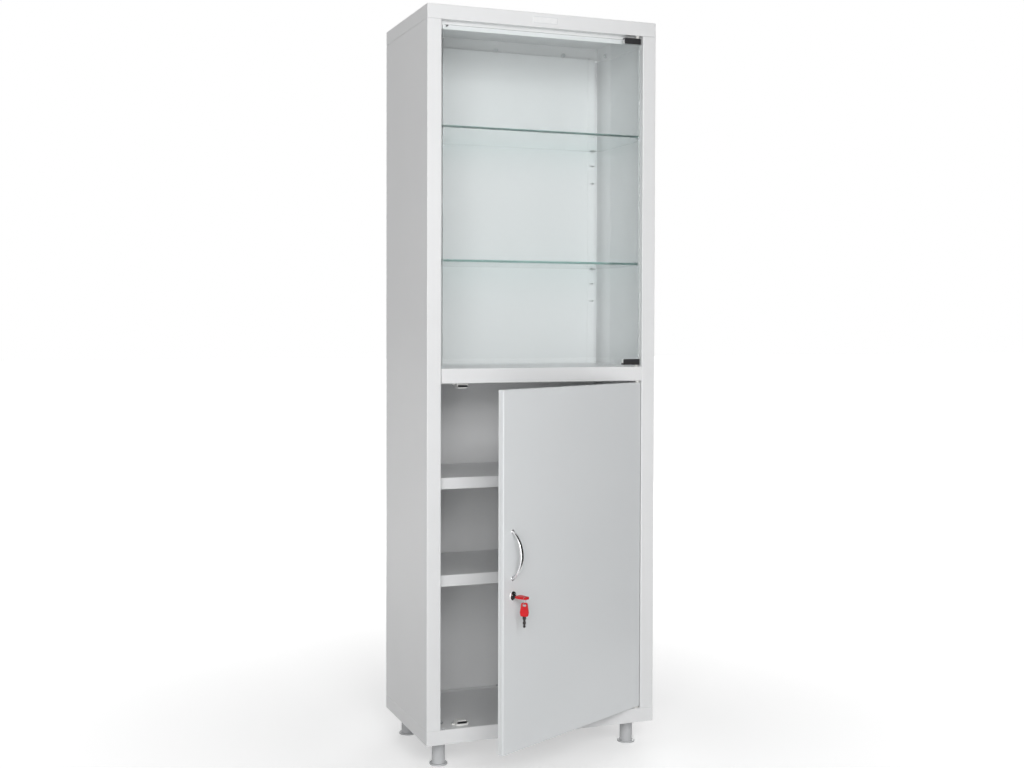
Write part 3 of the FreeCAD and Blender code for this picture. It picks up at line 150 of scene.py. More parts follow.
def roundOff(corners, steps=6):
    # corners are (x, y, radius), each becomes an arc
    outline = []
    for index, (x, y, radius) in enumerate(corners):
        here = Vector((x, y))
        if radius <= 0:
            outline.append(here)
            continue
        back = (Vector(corners[index - 1][:2]) - here).normalized()
        ahead = (Vector(corners[(index + 1) % len(corners)][:2]) - here).normalized()
        half = back.angle(ahead) / 2
        centre = here + (back + ahead).normalized() * radius / math.sin(half)
        first = here + back * radius / math.tan(half) - centre
        last = here + ahead * radius / math.tan(half) - centre
        begin = math.atan2(first.y, first.x)
        turn = math.atan2(first.cross(last), first.dot(last))
        for step in range(steps + 1):
            angle = begin + turn * step / steps
            outline.append(centre + radius * Vector((math.cos(angle), math.sin(angle))))
    return outline


def rectangle(width, height, radius, x=0, y=0):
    signs = ((-1, -1), (1, -1), (1, 1), (-1, 1))
    return roundOff([(x + right * width / 2, y + up * height / 2, radius) for right, up in signs])


def mirrored(corners):
    # the right half of an outline, then its left half
    return corners + [(-x, y, radius) for x, y, radius in reversed(corners)]


def slab(outlines, thickness, edge, steps=2):
    # outlines lie in XY, the first outside and the others holes, and Z is the thickness
    shape = bmesh.new()
    for outline in outlines:
        ring = [shape.verts.new((x, y, -thickness / 2)) for x, y in outline]
        for one, two in zip(ring, ring[1:] + ring[:1]):
            shape.edges.new((one, two))
    bmesh.ops.triangle_fill(shape, edges=shape.edges[:], use_beauty=True)
    dissolveFlat(shape, fillFlat)
    grown = bmesh.ops.extrude_face_region(shape, geom=shape.faces[:])["geom"]
    bmesh.ops.translate(shape, vec=(0, 0, thickness),
                        verts=[part for part in grown if isinstance(part, bmesh.types.BMVert)])
    bmesh.ops.recalc_face_normals(shape, faces=shape.faces[:])
    if edge:
        softenEdges(shape, edge, steps)
    return shape


def flatSheet(corners, radius, edge, standing=True):
    # a sheet that fills a box, with its place
    size = corners[1] - corners[0]
    deep, thick = (size.z, size.y) if standing else (size.y, size.z)
    place = shift(middle(corners)) @ (upright if standing else unmoved)
    return slab([rectangle(size.x, deep, radius)], thick, edge), place


def lathe(profile, sides=64):
    # profile is (radius, height), turned about Z
    shape = bmesh.new()
    angles = [2 * math.pi * side / sides for side in range(sides)]
    rings = []
    for radius, height in profile:
        if radius < onAxis:
            rings.append([shape.verts.new((0, 0, height))])
        else:
            rings.append([shape.verts.new((radius * math.cos(angle), radius * math.sin(angle), height))
                          for angle in angles])
    for low, high in zip(rings, rings[1:]):
        for side in range(sides):
            picks = ((low, side), (low, side + 1), (high, side + 1), (high, side))
            corners = list(dict.fromkeys(ring[at % len(ring)] for ring, at in picks))
            if len(corners) > 2:
                shape.faces.new(corners)
    bmesh.ops.remove_doubles(shape, verts=shape.verts, dist=onAxis)
    bmesh.ops.recalc_face_normals(shape, faces=shape.faces[:])
    return shape


def sweep(rings):
    # rings of points become a bar with shut ends
    shape = bmesh.new()
    loops = [[shape.verts.new(point) for point in ring] for ring in rings]
    for low, high in zip(loops, loops[1:]):
        for side in range(len(low)):
            after = (side + 1) % len(low)
            shape.faces.new((low[side], low[after], high[after], high[side]))
    shape.faces.new(loops[0])
    shape.faces.new(loops[-1])
    bmesh.ops.recalc_face_normals(shape, faces=shape.faces[:])
    return shape


def meshOf(name, shape):
    mesh = bpy.data.meshes.new(name)
    shape.to_mesh(mesh)
    shape.free()
    return mesh


def showPiece(name, body, mesh, finishes, replaces, smooth=40):
    for finish in finishes:
        mesh.materials.append(finish)
    mesh.shade_smooth()
    mesh.set_sharp_from_angle(angle=math.radians(smooth))
    piece = bpy.data.objects.new(name, mesh)
    scene.collection.objects.link(piece)
    even = piece.modifiers.new("evenNormals", "WEIGHTED_NORMAL")
    even.keep_sharp = True
    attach(piece, body)
    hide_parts(*replaces)
    return piece


def addPiece(name, body, parts, finishes, replaces, smooth=40):
    # parts are (shape, place, number of the finish)
    whole = bmesh.new()
    for shape, place, finish in parts:
        shape.transform(place)
        for face in shape.faces:
            face.material_index = finish
        part = meshOf(name, shape)
        whole.from_mesh(part)
        bpy.data.meshes.remove(part)
    return showPiece(name, body, meshOf(name, whole), finishes, replaces, smooth)


outOfDoor = lyingAlong((0, -1, 0))


# ways to join nodes

def fill(tree, node, inputs):
    # each input is set, or linked where its value is a socket
    for name, value in inputs.items():
        if isinstance(value, bpy.types.NodeSocket):
            tree.links.new(value, node.inputs[name])
        else:
            node.inputs[name].default_value = value


def newNode(tree, kind, inputs=None, **settings):
    node = tree.nodes.new(kind)
    for name, value in settings.items():
        setattr(node, name, value)
    fill(tree, node, inputs or {})
    return node


def joined(tree, kind, inputs, **settings):
    return newNode(tree, kind, inputs, **settings).outputs[0]


def shaped(tree, kind, inputs, **settings):
    return joined(tree, "GeometryNode" + kind, inputs, **settings)


def calculate(tree, operation, one, two):
    return joined(tree, "ShaderNodeMath", {0: one, 1: two}, operation=operation)


def times(tree, one, two):
    return calculate(tree, "MULTIPLY", one, two)


def plus(tree, one, two):
    return calculate(tree, "ADD", one, two)


def minus(tree, one, two):
    return calculate(tree, "SUBTRACT", one, two)


def mixed(tree, share, one, two):
    return joined(tree, "ShaderNodeMixShader", {0: share, 1: one, 2: two})


def scaled(tree, vector, factors):
    return joined(tree, "ShaderNodeVectorMath", {0: vector, 1: factors}, operation="MULTIPLY")


def shaded(tree, tone, factor):
    return joined(tree, "ShaderNodeVectorMath", {0: tone, "Scale": factor}, operation="SCALE")


def lengthOf(tree, vector):
    return newNode(tree, "ShaderNodeVectorMath", {0: vector}, operation="LENGTH").outputs["Value"]


def placeOn(tree):
    return newNode(tree, "ShaderNodeTexCoord").outputs["Object"]


def noiseAt(tree, vector, size, detail=2.0, roughness=0.5):
    return joined(tree, "ShaderNodeTexNoise", {
        "Vector": vector, "Scale": size, "Detail": detail, "Roughness": roughness})


def spread(tree, value, low, high, fromLow=0.3, fromHigh=0.7):
    # carries a noise value to the range low to high
    return joined(tree, "ShaderNodeMapRange", {
        "Value": value, "From Min": fromLow, "From Max": fromHigh, "To Min": low, "To Max": high})


def straying(tree, noise, amount):
    # a factor that strays from one by an amount
    return spread(tree, noise, minus(tree, 1.0, amount), plus(tree, 1.0, amount))


# finishes

number = "NodeSocketFloat"
colour = "NodeSocketColor"
vectorKind = "NodeSocketVector"
surfaceOutputs = {"Color": colour, "Roughness": number, "Height": number}


def newGroup(name, inputs):
    group = bpy.data.node_groups.new(name, "ShaderNodeTree")
    for label, (kind, value) in inputs.items():
        group.interface.new_socket(label, in_out="INPUT", socket_type=kind).default_value = value
    for label, kind in surfaceOutputs.items():
        group.interface.new_socket(label, in_out="OUTPUT", socket_type=kind)
    return group, newNode(group, "NodeGroupInput").outputs


def makePowderCoat():
    # baked powder paint: fine orange peel, faint clouds and a few nibs of dust
    group, given = newGroup("powderCoat", {
        "Color": (colour, (0.8, 0.8, 0.8, 1)), "Peel Scale": (number, 420.0), "Clouds": (number, 0.015),
        "Satin": (number, 0.3), "Handling": (number, 0.02)})
    place = placeOn(group)
    peel = noiseAt(group, place, given["Peel Scale"], detail=1.5, roughness=0.45)
    clouds = noiseAt(group, place, size=2.6, detail=3.0)
    smears = noiseAt(group, place, size=17.0, detail=5.0, roughness=0.6)
    nibs = newNode(group, "ShaderNodeTexVoronoi", {"Vector": place, "Scale": 75.0}).outputs["Distance"]
    nib = spread(group, nibs, low=0.93, high=1.0, fromLow=0.03, fromHigh=0.05)
    lump = spread(group, nibs, low=0.35, high=0.0, fromLow=0.0, fromHigh=0.06)
    tint = times(group, straying(group, clouds, given["Clouds"]), nib)
    handled = plus(group, given["Satin"], given["Handling"])
    newNode(group, "NodeGroupOutput", {
        "Color": shaded(group, given["Color"], tint),
        "Roughness": spread(group, smears, given["Satin"], handled, fromLow=0.4, fromHigh=0.75),
        "Height": plus(group, peel, lump)})
    return group


def makePlatedMetal():
    # drawn or plated metal: lines along one way, darker in patches
    group, given = newGroup("platedMetal", {
        "Color": (colour, (0.7, 0.7, 0.7, 1)), "Line Scale": (number, 900.0), "Dulling": (number, 0.2),
        "Shine": (number, 0.15), "Scuffs": (number, 0.15), "Run": (vectorKind, (1.0, 1.0, 0.06))})
    place = placeOn(group)
    drawn = scaled(group, place, given["Run"])
    lines = noiseAt(group, drawn, given["Line Scale"], detail=3.0, roughness=0.6)
    patches = noiseAt(group, place, size=130.0, detail=4.0, roughness=0.6)
    tint = spread(group, patches, 1.0, minus(group, 1.0, given["Dulling"]), fromLow=0.4, fromHigh=0.75)
    blend = times(group, plus(group, lines, patches), 0.5)
    newNode(group, "NodeGroupOutput", {
        "Color": shaded(group, given["Color"], tint),
        "Roughness": spread(group, blend, given["Shine"], plus(group, given["Shine"], given["Scuffs"])),
        "Height": lines})
    return group


def makeMouldedPlastic():
    # moulded plastic or rubber: spark-eroded grain and weak flow clouds
    group, given = newGroup("mouldedPlastic", {
        "Color": (colour, (0.5, 0.5, 0.5, 1)), "Grain Scale": (number, 1500.0), "Flow": (number, 0.06),
        "Sheen Low": (number, 0.35), "Sheen High": (number, 0.5)})
    place = placeOn(group)
    grain = noiseAt(group, place, given["Grain Scale"], detail=2.0, roughness=0.55)
    flow = noiseAt(group, place, size=60.0, detail=3.0)
    blend = times(group, plus(group, grain, flow), 0.5)
    newNode(group, "NodeGroupOutput", {
        "Color": shaded(group, given["Color"], straying(group, flow, given["Flow"])),
        "Roughness": spread(group, blend, given["Sheen Low"], given["Sheen High"]),
        "Height": grain})
    return group


powderCoat = makePowderCoat()
platedMetal = makePlatedMetal()
mouldedPlastic = makeMouldedPlastic()


def newMaterial(name):
    material = bpy.data.materials.new(name)
    material.use_nodes = True
    return material, material.node_tree, material.node_tree.nodes["Principled BSDF"]


def newFinish(name, group, tone, values, strength, distance, constants):
    # strength and distance are the bump's, constants go straight on the shader
    material, tree, shader = newMaterial(name)
    surface = newNode(tree, "ShaderNodeGroup", node_tree=group)
    fill(tree, surface, dict(values, Color=(*tone, 1)))
    made = surface.outputs
    bump = joined(tree, "ShaderNodeBump", {"Strength": strength, "Distance": distance, "Height": made["Height"]})
    fill(tree, shader, {"Base Color": made["Color"], "Roughness": made["Roughness"], "Normal": bump})
    fill(tree, shader, constants)
    return material


def painted(name, tone, clouds, relief=0.12, deep=0.4 * mm):
    return newFinish(name, powderCoat, tone, {"Clouds": clouds}, relief, deep, {})


def plated(name, tone, relief, shine, scuffs=0.15, dulling=0.2, run=(1.0, 1.0, 0.06), deep=0.05 * mm):
    values = {"Shine": shine, "Scuffs": scuffs, "Dulling": dulling, "Run": run}
    return newFinish(name, platedMetal, tone, values, relief, deep, {"Metallic": 1.0})


def moulded(name, tone, relief, flow=0.06, sheen=(0.35, 0.5), deep=0.1 * mm, specular=0.5):
    values = {"Flow": flow, "Sheen Low": sheen[0], "Sheen High": sheen[1]}
    return newFinish(name, mouldedPlastic, tone, values, relief, deep, {"Specular IOR Level": specular})


enamel = painted("carcassEnamel", (0.80, 0.805, 0.81), clouds=0.015)
doorEnamel = painted("doorEnamel", (0.76, 0.78, 0.79), clouds=0.012)
clampBlack = moulded("clampBlack", (0.018, 0.018, 0.02), 0.15, flow=0.15, sheen=(0.28, 0.42))
clipSteel = plated("clipSteel", (0.34, 0.36, 0.36), 0.08, shine=0.22)
clearPad = moulded("clearPad", (0.62, 0.63, 0.63), 0.1, sheen=(0.3, 0.45))
rubber = moulded("stopRubber", (0.06, 0.06, 0.06), 0.3, flow=0.2, sheen=(0.6, 0.8))
zinc = plated("zincPlate", (0.66, 0.67, 0.68), 0.08, shine=0.2)
darkSteel = plated("darkSteel", (0.14, 0.14, 0.15), 0.1, shine=0.3, scuffs=0.2)
nylon = moulded("naturalNylon", (0.72, 0.72, 0.69), 0.1, flow=0.05)
legPlastic = moulded("legPlastic", (0.57, 0.58, 0.59), 0.08, flow=0.04, sheen=(0.16, 0.28), deep=0.15 * mm)
catchPlastic = moulded("catchPlastic", (0.76, 0.76, 0.74), 0.08, flow=0.03, sheen=(0.25, 0.38))
ferrite = moulded("ferrite", (0.03, 0.03, 0.032), 0.3, flow=0.25, sheen=(0.5, 0.7))
handleChrome = plated("handleChrome", (0.72, 0.72, 0.73), 0.03, shine=0.1, scuffs=0.12, dulling=0.08)
lockChrome = plated("lockChrome", (0.78, 0.78, 0.79), 0.02, shine=0.06, scuffs=0.08, dulling=0.06)
keySteel = plated("blackNickel", (0.045, 0.042, 0.042), 0.15, shine=0.22, scuffs=0.25)
keyRed = moulded("keyRed", (0.60, 0.008, 0.013), 0.08, sheen=(0.3, 0.45), specular=0.3)
badgeSatin = plated("badgeSatin", (0.74, 0.75, 0.76), 0.06, shine=0.28, scuffs=0.12, dulling=0.06,
                    run=(0.06, 1.0, 1.0))
badgeField = moulded("badgeField", (0.86, 0.865, 0.87), 0.05, flow=0.02, sheen=(0.2, 0.32))

floatGlass = {"tint": (0.99, 0.995, 0.995, 1), "index": 1.5, "body": (0.42, 0.80, 0.76, 1), "density": 7.5,
              "shade": (0.98, 0.985, 0.985, 1), "ground": 0.42, "wiped": (6.0, 6.0, 1.0), "smear": 0.03}


def makeGlass(name, values):
    # clear float glass with faint wipe marks, dark green seen through its edges
    material, tree, shader = newMaterial(name)
    marks = noiseAt(tree, scaled(tree, placeOn(tree), values["wiped"]), size=3.0, detail=6.0, roughness=0.65)
    smear = spread(tree, marks, 0.0, values["smear"], fromLow=0.45, fromHigh=0.8)
    edge = newNode(tree, "ShaderNodeAttribute", attribute_name="ground").outputs["Fac"]
    matt = times(tree, edge, values["ground"])
    fill(tree, shader, {"Base Color": values["tint"], "Transmission Weight": 1.0, "IOR": values["index"],
                        "Roughness": calculate(tree, "MAXIMUM", smear, matt)})
    path = newNode(tree, "ShaderNodeLightPath").outputs
    clear = joined(tree, "ShaderNodeBsdfTransparent", {"Color": values["shade"]})
    passing = calculate(tree, "MAXIMUM", path["Is Shadow Ray"], path["Is Diffuse Ray"])
    fill(tree, tree.nodes["Material Output"], {
        "Surface": mixed(tree, passing, shader.outputs[0], clear),
        "Volume": joined(tree, "ShaderNodeVolumeAbsorption", {
            "Color": values["body"], "Density": values["density"]})})
    return material


glass = makeGlass("floatGlass", floatGlass)
print("finishes made:", len(bpy.data.materials))

# finishes of the folded sheets and other nodes that stay as they are
kept = {
    enamel: ["left_side_panel", "right_side_panel", "top_cap", "base_pan", "stop_rail", "middle_deck",
             "upper_steel_shelf", "lower_steel_shelf"],
    doorEnamel: ["lower_door_face", "lower_door_back", "lower_door_stiffener"],
    nylon: ["glass_door_bushes", "lower_door_top_bush", "lower_door_bottom_bush"],
    zinc: ["glass_door_pins", "lower_door_pins", "cap_studs", "lock_cam"],
    clearPad: ["clamp_pads"],
}
for finish, names in kept.items():
    for name in names:
        nodes[name].data.materials.clear()
        nodes[name].data.materials.append(finish)

# back panel: its side edges are stepped back to close the hollow behind the shelf slots
backSheet = {"gauge": 1 * mm, "step": 9 * mm, "flange": 17.5 * mm, "gap": 0.4 * mm, "bend": 1.2 * mm,
             "short": 12 * mm}


def makeBack(values):
    reach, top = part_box("back_panel")[1].x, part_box("back_panel")[1].z - values["short"]
    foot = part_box("base_pan")[1].z
    gauge, bend = values["gauge"], values["bend"]
    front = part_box("middle_deck")[1].y + gauge
    back = front + values["step"]
    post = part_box("right_side_panel")[1].x - values["flange"] - values["gap"]
    section = roundOff([(reach - gauge, front, 0), (reach, front, 0), (reach, back - gauge, bend - gauge / 2),
                        (post, back - gauge, 0), (post, back, 0), (reach - gauge, back, bend)], steps=4)
    parts = [(loosePart("back_panel"), unmoved, 0)]
    for side in (-1, 1):
        lip = slab([[(side * x, y) for x, y in section]], top - foot, 0)
        parts.append((lip, shift((0, 0, (foot + top) / 2)), 0))
    addPiece("backSheet", "carcass", parts, [enamel], ["back_panel"], smooth=35)


makeBack(backSheet)

# glass: ground edges and corners
glassSheets = {"corner": 3 * mm, "ground": 0.7 * mm, "facing": 0.9}
for name, body in (("glass_pane", "glass_door"), ("upper_glass_shelf", "carcass"), ("lower_glass_shelf", "carcass")):
    sheet, place = flatSheet(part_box(name), glassSheets["corner"], glassSheets["ground"], body == "glass_door")
    piece = addPiece(name.replace("_", "") + "Ground", body, [(sheet, place, 0)], [glass], [name])
    ground = piece.data.attributes.new("ground", "FLOAT", "FACE")
    across = place.to_3x3() @ Vector((0, 0, 1))
    for face in piece.data.polygons:
        ground.data[face.index].value = float(abs(face.normal.dot(across)) < glassSheets["facing"])
print("glass made")

# moulded clamps that hold the pane at its pivots
paneClamps = {"edge": 0.8 * mm, "free": 3 * mm}
for name in ("upper_pane_clamp", "lower_pane_clamp"):
    jaw = loosePart(name)
    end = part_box(name)[0].x
    for vert in jaw.verts:  # the free end stops a little short
        if vert.co.x < end + paneClamps["free"]:
            vert.co.x += paneClamps["free"]
    dissolveFlat(jaw, flatWithin)
    softenEdges(jaw, paneClamps["edge"], steps=3)
    addPiece(name.split("_")[0] + "PaneClamp", "glass_door", [(jaw, unmoved, 0)], [clampBlack], [name])

# bow handle: a crescent that lands flat on the door
bowHandle = {"width": 8 * mm, "depth": 5 * mm, "halfSpan": 49.5 * mm, "taper": 0.22, "taperPower": 3,
             "widePower": 0.55, "deepPower": 0.7, "stations": 48, "around": 28, "footRadius": 4.6 * mm,
             "footHeight": 1.1 * mm, "footRound": 0.5 * mm, "footIn": 1.2 * mm}


def squared(value, power):
    return math.copysign(abs(value) ** power, value)


def makeHandle(values):
    low, high = solidsOf("bow_handle", doorPlace)[0]
    centre = middle((low, high))
    doorFace = high.y
    rise = (high.y - low.y) - values["depth"] / 2
    half = values["halfSpan"]
    radius = (half * half + rise * rise) / (2 * rise)
    spanAngle = math.asin(half / radius)
    rings = []
    for station in range(values["stations"] + 1):
        share = 2 * station / values["stations"] - 1
        angle = share * spanAngle
        slim = 1 - values["taper"] * abs(share) ** values["taperPower"]
        out = rise - radius * (1 - math.cos(angle))
        up = radius * math.sin(angle)
        ring = []
        for side in range(values["around"]):
            turn = 2 * math.pi * side / values["around"]
            across = squared(math.cos(turn), values["widePower"]) * values["width"] / 2 * slim
            deep = squared(math.sin(turn), values["deepPower"]) * values["depth"] / 2 * slim
            away = out + deep * math.cos(angle)
            along = up + deep * math.sin(angle)
            if abs(share) == 1:  # both ends are cut flush with the door
                along += math.copysign(away / math.tan(spanAngle), share)
                away = 0
            ring.append((centre.x + across, doorFace - away, centre.z + along))
        rings.append(ring)
    parts = [(sweep(rings), doorPlace, 0)]
    wide, tall = values["footRadius"], values["footHeight"]
    for end in (-1, 1):
        profile = roundOff([(0, 0, 0), (wide, 0, 0), (wide, tall, values["footRound"]), (0, tall, 0)], steps=4)
        seat = shift((centre.x, doorFace, centre.z + end * (half - values["footIn"])))
        parts.append((lathe(profile, sides=40), doorPlace @ seat @ outOfDoor, 0))
    addPiece("bowHandle", "lower_door", parts, [handleChrome], ["bow_handle"], smooth=50)


makeHandle(bowHandle)

# cam lock: a domed collar round a plug, and the nut behind the door
lockCollar = {"rim": 0.8 * mm, "flat": 7 * mm, "bore": 5.62 * mm, "barrel": 8 * mm, "lip": 0.5 * mm,
              "domeSteps": 10, "plugEdge": 0.3 * mm, "plugAngle": 40}


def makeLock(values):
    low, high = solidsOf("lock_housing", doorPlace)[0]
    centre = middle((low, high))
    doorFace = solidsOf("lower_door_face", doorPlace)[0][0].y
    proud = doorFace - low.y
    deep = high.y - doorFace
    flange = (high.x - low.x) / 2
    rim, flat, bore, barrel, lip = (values[part] for part in ("rim", "flat", "bore", "barrel", "lip"))
    profile = [(bore, -deep), (bore, proud - lip), (bore + lip, proud)]
    for step in range(values["domeSteps"] + 1):
        angle = step * math.pi / (2 * values["domeSteps"])
        profile.append((flat + (flange - flat) * math.sin(angle), rim + (proud - rim) * math.cos(angle)))
    profile += [(flange, 0), (barrel, 0), (barrel, -deep), (bore, -deep)]
    place = doorPlace @ shift((centre.x, doorFace, centre.z)) @ outOfDoor
    collar = lathe(profile, sides=72)
    addPiece("lockCollar", "lower_door", [(collar, place, 0)], [lockChrome], ["lock_housing"], smooth=32)
    plug = loosePart("lock_plug", doorPlace)
    dissolveFlat(plug, flatWithin)
    softenEdges(plug, values["plugEdge"], angle=values["plugAngle"])
    addPiece("lockPlug", "lock", [(plug, doorPlace, 0)], [lockChrome], ["lock_plug"])


makeLock(lockCollar)

# keys: moulded bow with a sunk panel and a slot for the ring, milled blade
# opening and panel are (half width at the ends, at the middle, start, share of the bow where it stops)
# cuts are (share of the blade's length, share of its half width)
keyShape = {"bowLength": 28 * mm, "bowThick": 5 * mm, "bowEdge": 1.5 * mm, "root": 15.5 * mm, "rootRound": 3 * mm,
            "belly": 18.4 * mm, "bellyRound": 6 * mm, "bellyAt": 0.28, "tip": 12.6 * mm, "tipRound": 3.4 * mm,
            "opening": (5.6 * mm, 7.0 * mm, -2.6 * mm, 0.6), "panel": (6 * mm, 7.6 * mm, -2 * mm, 0.62),
            "panelRounds": (2 * mm, 3 * mm, 1.6 * mm), "panelWidest": 0.3, "panelThick": 3.4 * mm,
            "panelEdge": 0.2 * mm, "slotWide": 7.6 * mm, "slotHigh": 5 * mm, "slotFromEnd": 3 * mm,
            "slotRound": 2 * mm, "bladeWide": 7.4 * mm, "bladeThick": 2.2 * mm, "bladeLong": 23 * mm,
            "bladeEdge": 0.25 * mm, "tang": 8 * mm, "cutRound": 0.35 * mm,
            "cuts": [(0.22, 1.0), (0.32, 0.62), (0.44, 0.66), (0.54, 0.86), (0.66, 0.86), (0.73, 0.54),
                     (0.79, 0.54), (0.86, 0.7), (0.93, 0.7), (1.0, 0.3)]}


def makeKey(values, names, body, place):
    # drawn with the bow towards -Y and the blade towards +Y
    end = -values["bowLength"]
    bow = roundOff(mirrored([(values["root"] / 2, 0, values["rootRound"]),
                             (values["belly"] / 2, end * values["bellyAt"], values["bellyRound"]),
                             (values["tip"] / 2, end, values["tipRound"])]))
    slotY = end + values["slotFromEnd"] + values["slotHigh"] / 2
    slot = rectangle(values["slotWide"], values["slotHigh"], values["slotRound"], 0, slotY)
    first, second, third = values["panelRounds"]
    windows = []
    for half, widest, start, stop in (values["opening"], values["panel"]):
        windows.append(roundOff(mirrored([(half, start, first), (widest, end * values["panelWidest"], second),
                                          (half, end * stop, third)])))
    parts = [(slab([bow, slot, windows[0]], values["bowThick"], values["bowEdge"], steps=3), place, 0),
             (slab([windows[1]], values["panelThick"], values["panelEdge"]), place, 0)]
    addPiece(names[0], body, parts, [keyRed], [names[1]], smooth=45)
    half = values["bladeWide"] / 2
    edge = [(half * wide, values["bladeLong"] * share, values["cutRound"]) for share, wide in values["cuts"]]
    blade = roundOff(mirrored([(half, -values["tang"], 0)] + edge), steps=3)
    milled = slab([blade], values["bladeThick"], values["bladeEdge"])
    addPiece(names[2], body, [(milled, place, 0)], [keySteel], [names[3]], smooth=35)


keyBox = solidsOf("key_bow", doorPlace)[0]
keyPlace = doorPlace @ shift((middle(keyBox).x, keyBox[1].y, middle(keyBox).z))
makeKey(keyShape, ("keyBow", "key_bow", "keyBlade", "key_blade"), "key", keyPlace)
ringJoint = joints["key_ring_swing"]
ringCentre = Vector(ringJoint["pos_m"])
ringAxis = Vector(ringJoint["axis"])
ringTurn = Matrix.Rotation(math.atan2(-ringAxis.x, ringAxis.y), 4, "Z")
spareSeat = shift((ringCentre.x, ringCentre.y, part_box("spare_key_bow")[0].z))
sparePlace = spareSeat @ ringTurn @ Matrix.Rotation(math.pi / 2, 4, "Z") @ Matrix.Rotation(-math.pi / 2, 4, "X")
makeKey(keyShape, ("spareKeyBow", "spare_key_bow", "spareKeyBlade", "spare_key_blade"), "key_ring", sparePlace)

# split ring: a flat wire wound twice
splitRing = {"radius": 8 * mm, "wireAcross": 1.15 * mm, "wireAlong": 0.54 * mm, "turns": 1.9, "start": 0.9,
             "stations": 150, "around": 12}


def makeRing(values):
    rings = []
    for station in range(values["stations"] + 1):
        share = station / values["stations"]
        angle = share * values["turns"] * 2 * math.pi + values["start"]
        lift = (2 * share - 1) * values["wireAlong"] / 2
        ring = []
        for side in range(values["around"]):
            turn = 2 * math.pi * side / values["around"]
            radius = values["radius"] + values["wireAcross"] / 2 * math.cos(turn)
            height = lift + values["wireAlong"] / 2 * math.sin(turn)
            ring.append((radius * math.cos(angle), radius * math.sin(angle), height))
        rings.append(ring)
    place = shift(ringCentre) @ lyingAlong(ringAxis)
    addPiece("splitRing", "key_ring", [(sweep(rings), place, 0)], [zinc], ["key_ring"], smooth=50)


makeRing(splitRing)
print("handle, lock and keys made")

# magnet catches: moulded case with ears, poles and ferrite in a slot
magnetCatch = {"caseWide": 28 * mm, "taper": 3 * mm, "corner": 4 * mm, "edge": 0.6 * mm, "frontDeep": 12 * mm,
               "slackWide": 0.4 * mm, "slackHigh": 0.3 * mm, "slotRound": 0.8 * mm, "earThick": 3 * mm,
               "earDeep": 10 * mm, "earRound": 3 * mm, "earEdge": 0.5 * mm, "pole": 1.0 * mm, "coreSunk": 0.8 * mm,
               "coreRound": 0.3 * mm, "coreEdge": 0.12 * mm}


def makeCatch(values, name):
    low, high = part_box(name + "_catch_case")
    magnetLow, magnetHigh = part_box(name + "_catch_magnet")
    magnetCentre = middle((magnetLow, magnetHigh))
    magnetSize = magnetHigh - magnetLow
    hangs = -1 if name == "upper" else 1  # which way the case stands from what carries it
    height = high.z - low.z
    base = high.z if hangs < 0 else low.z
    centreX = (low.x + high.x) / 2
    half = values["caseWide"] / 2
    narrow = half - values["taper"]
    outline = roundOff([(-half, 0, 0), (half, 0, 0), (narrow, height, values["corner"]),
                        (-narrow, height, values["corner"])])
    slot = rectangle(magnetSize.x + values["slackWide"], magnetSize.z + values["slackHigh"], values["slotRound"],
                     0, ((magnetLow.z + magnetHigh.z) / 2 - base) * hangs)
    stand = Matrix(((1, 0, 0, centreX), (0, 0, 1, 0), (0, hangs, 0, base), (0, 0, 0, 1)))
    frontDeep = values["frontDeep"]
    rearDeep = high.y - low.y - frontDeep
    screwY = middle(solidsOf("catch_screws")[0]).y
    ears = slab([rectangle(high.x - low.x, values["earDeep"], values["earRound"])], values["earThick"],
                values["earEdge"])
    earPlace = shift((centreX, screwY, base + hangs * values["earThick"] / 2))
    parts = [(slab([outline, slot], frontDeep, values["edge"]),
              shift((0, low.y + frontDeep / 2, 0)) @ stand, 0),
             (slab([outline], rearDeep, values["edge"]),
              shift((0, high.y - rearDeep / 2, 0)) @ stand, 0),
             (ears, earPlace, 0)]
    addPiece(name + "CatchCase", "carcass", parts, [catchPlastic], [name + "_catch_case"])
    core = []
    pole = values["pole"]
    between = magnetSize.z - 2 * pole
    for offset, thick, sunk, finish in ((0, between, values["coreSunk"], 0), (between / 2 + pole / 2, pole, 0, 1),
                                        (-between / 2 - pole / 2, pole, 0, 1)):
        plate = slab([rectangle(magnetSize.x, magnetSize.y - sunk, values["coreRound"])], thick, values["coreEdge"])
        core.append((plate, shift(magnetCentre + Vector((0, sunk / 2, offset))), finish))
    addPiece(name + "CatchMagnet", "carcass", core, [ferrite, darkSteel], [name + "_catch_magnet"])


for name in ("upper", "lower"):
    makeCatch(magnetCatch, name)

# strike plates that the magnets hold, on the lower door
strikePlate = {"corner": 2 * mm, "edge": 0.2 * mm}
strikes = []
for corners in solidsOf("strike_plates", doorPlace):
    plate, place = flatSheet(corners, strikePlate["corner"], strikePlate["edge"])
    strikes.append((plate, doorPlace @ place, 0))
addPiece("strikePlates", "lower_door", strikes, [zinc], ["strike_plates"])

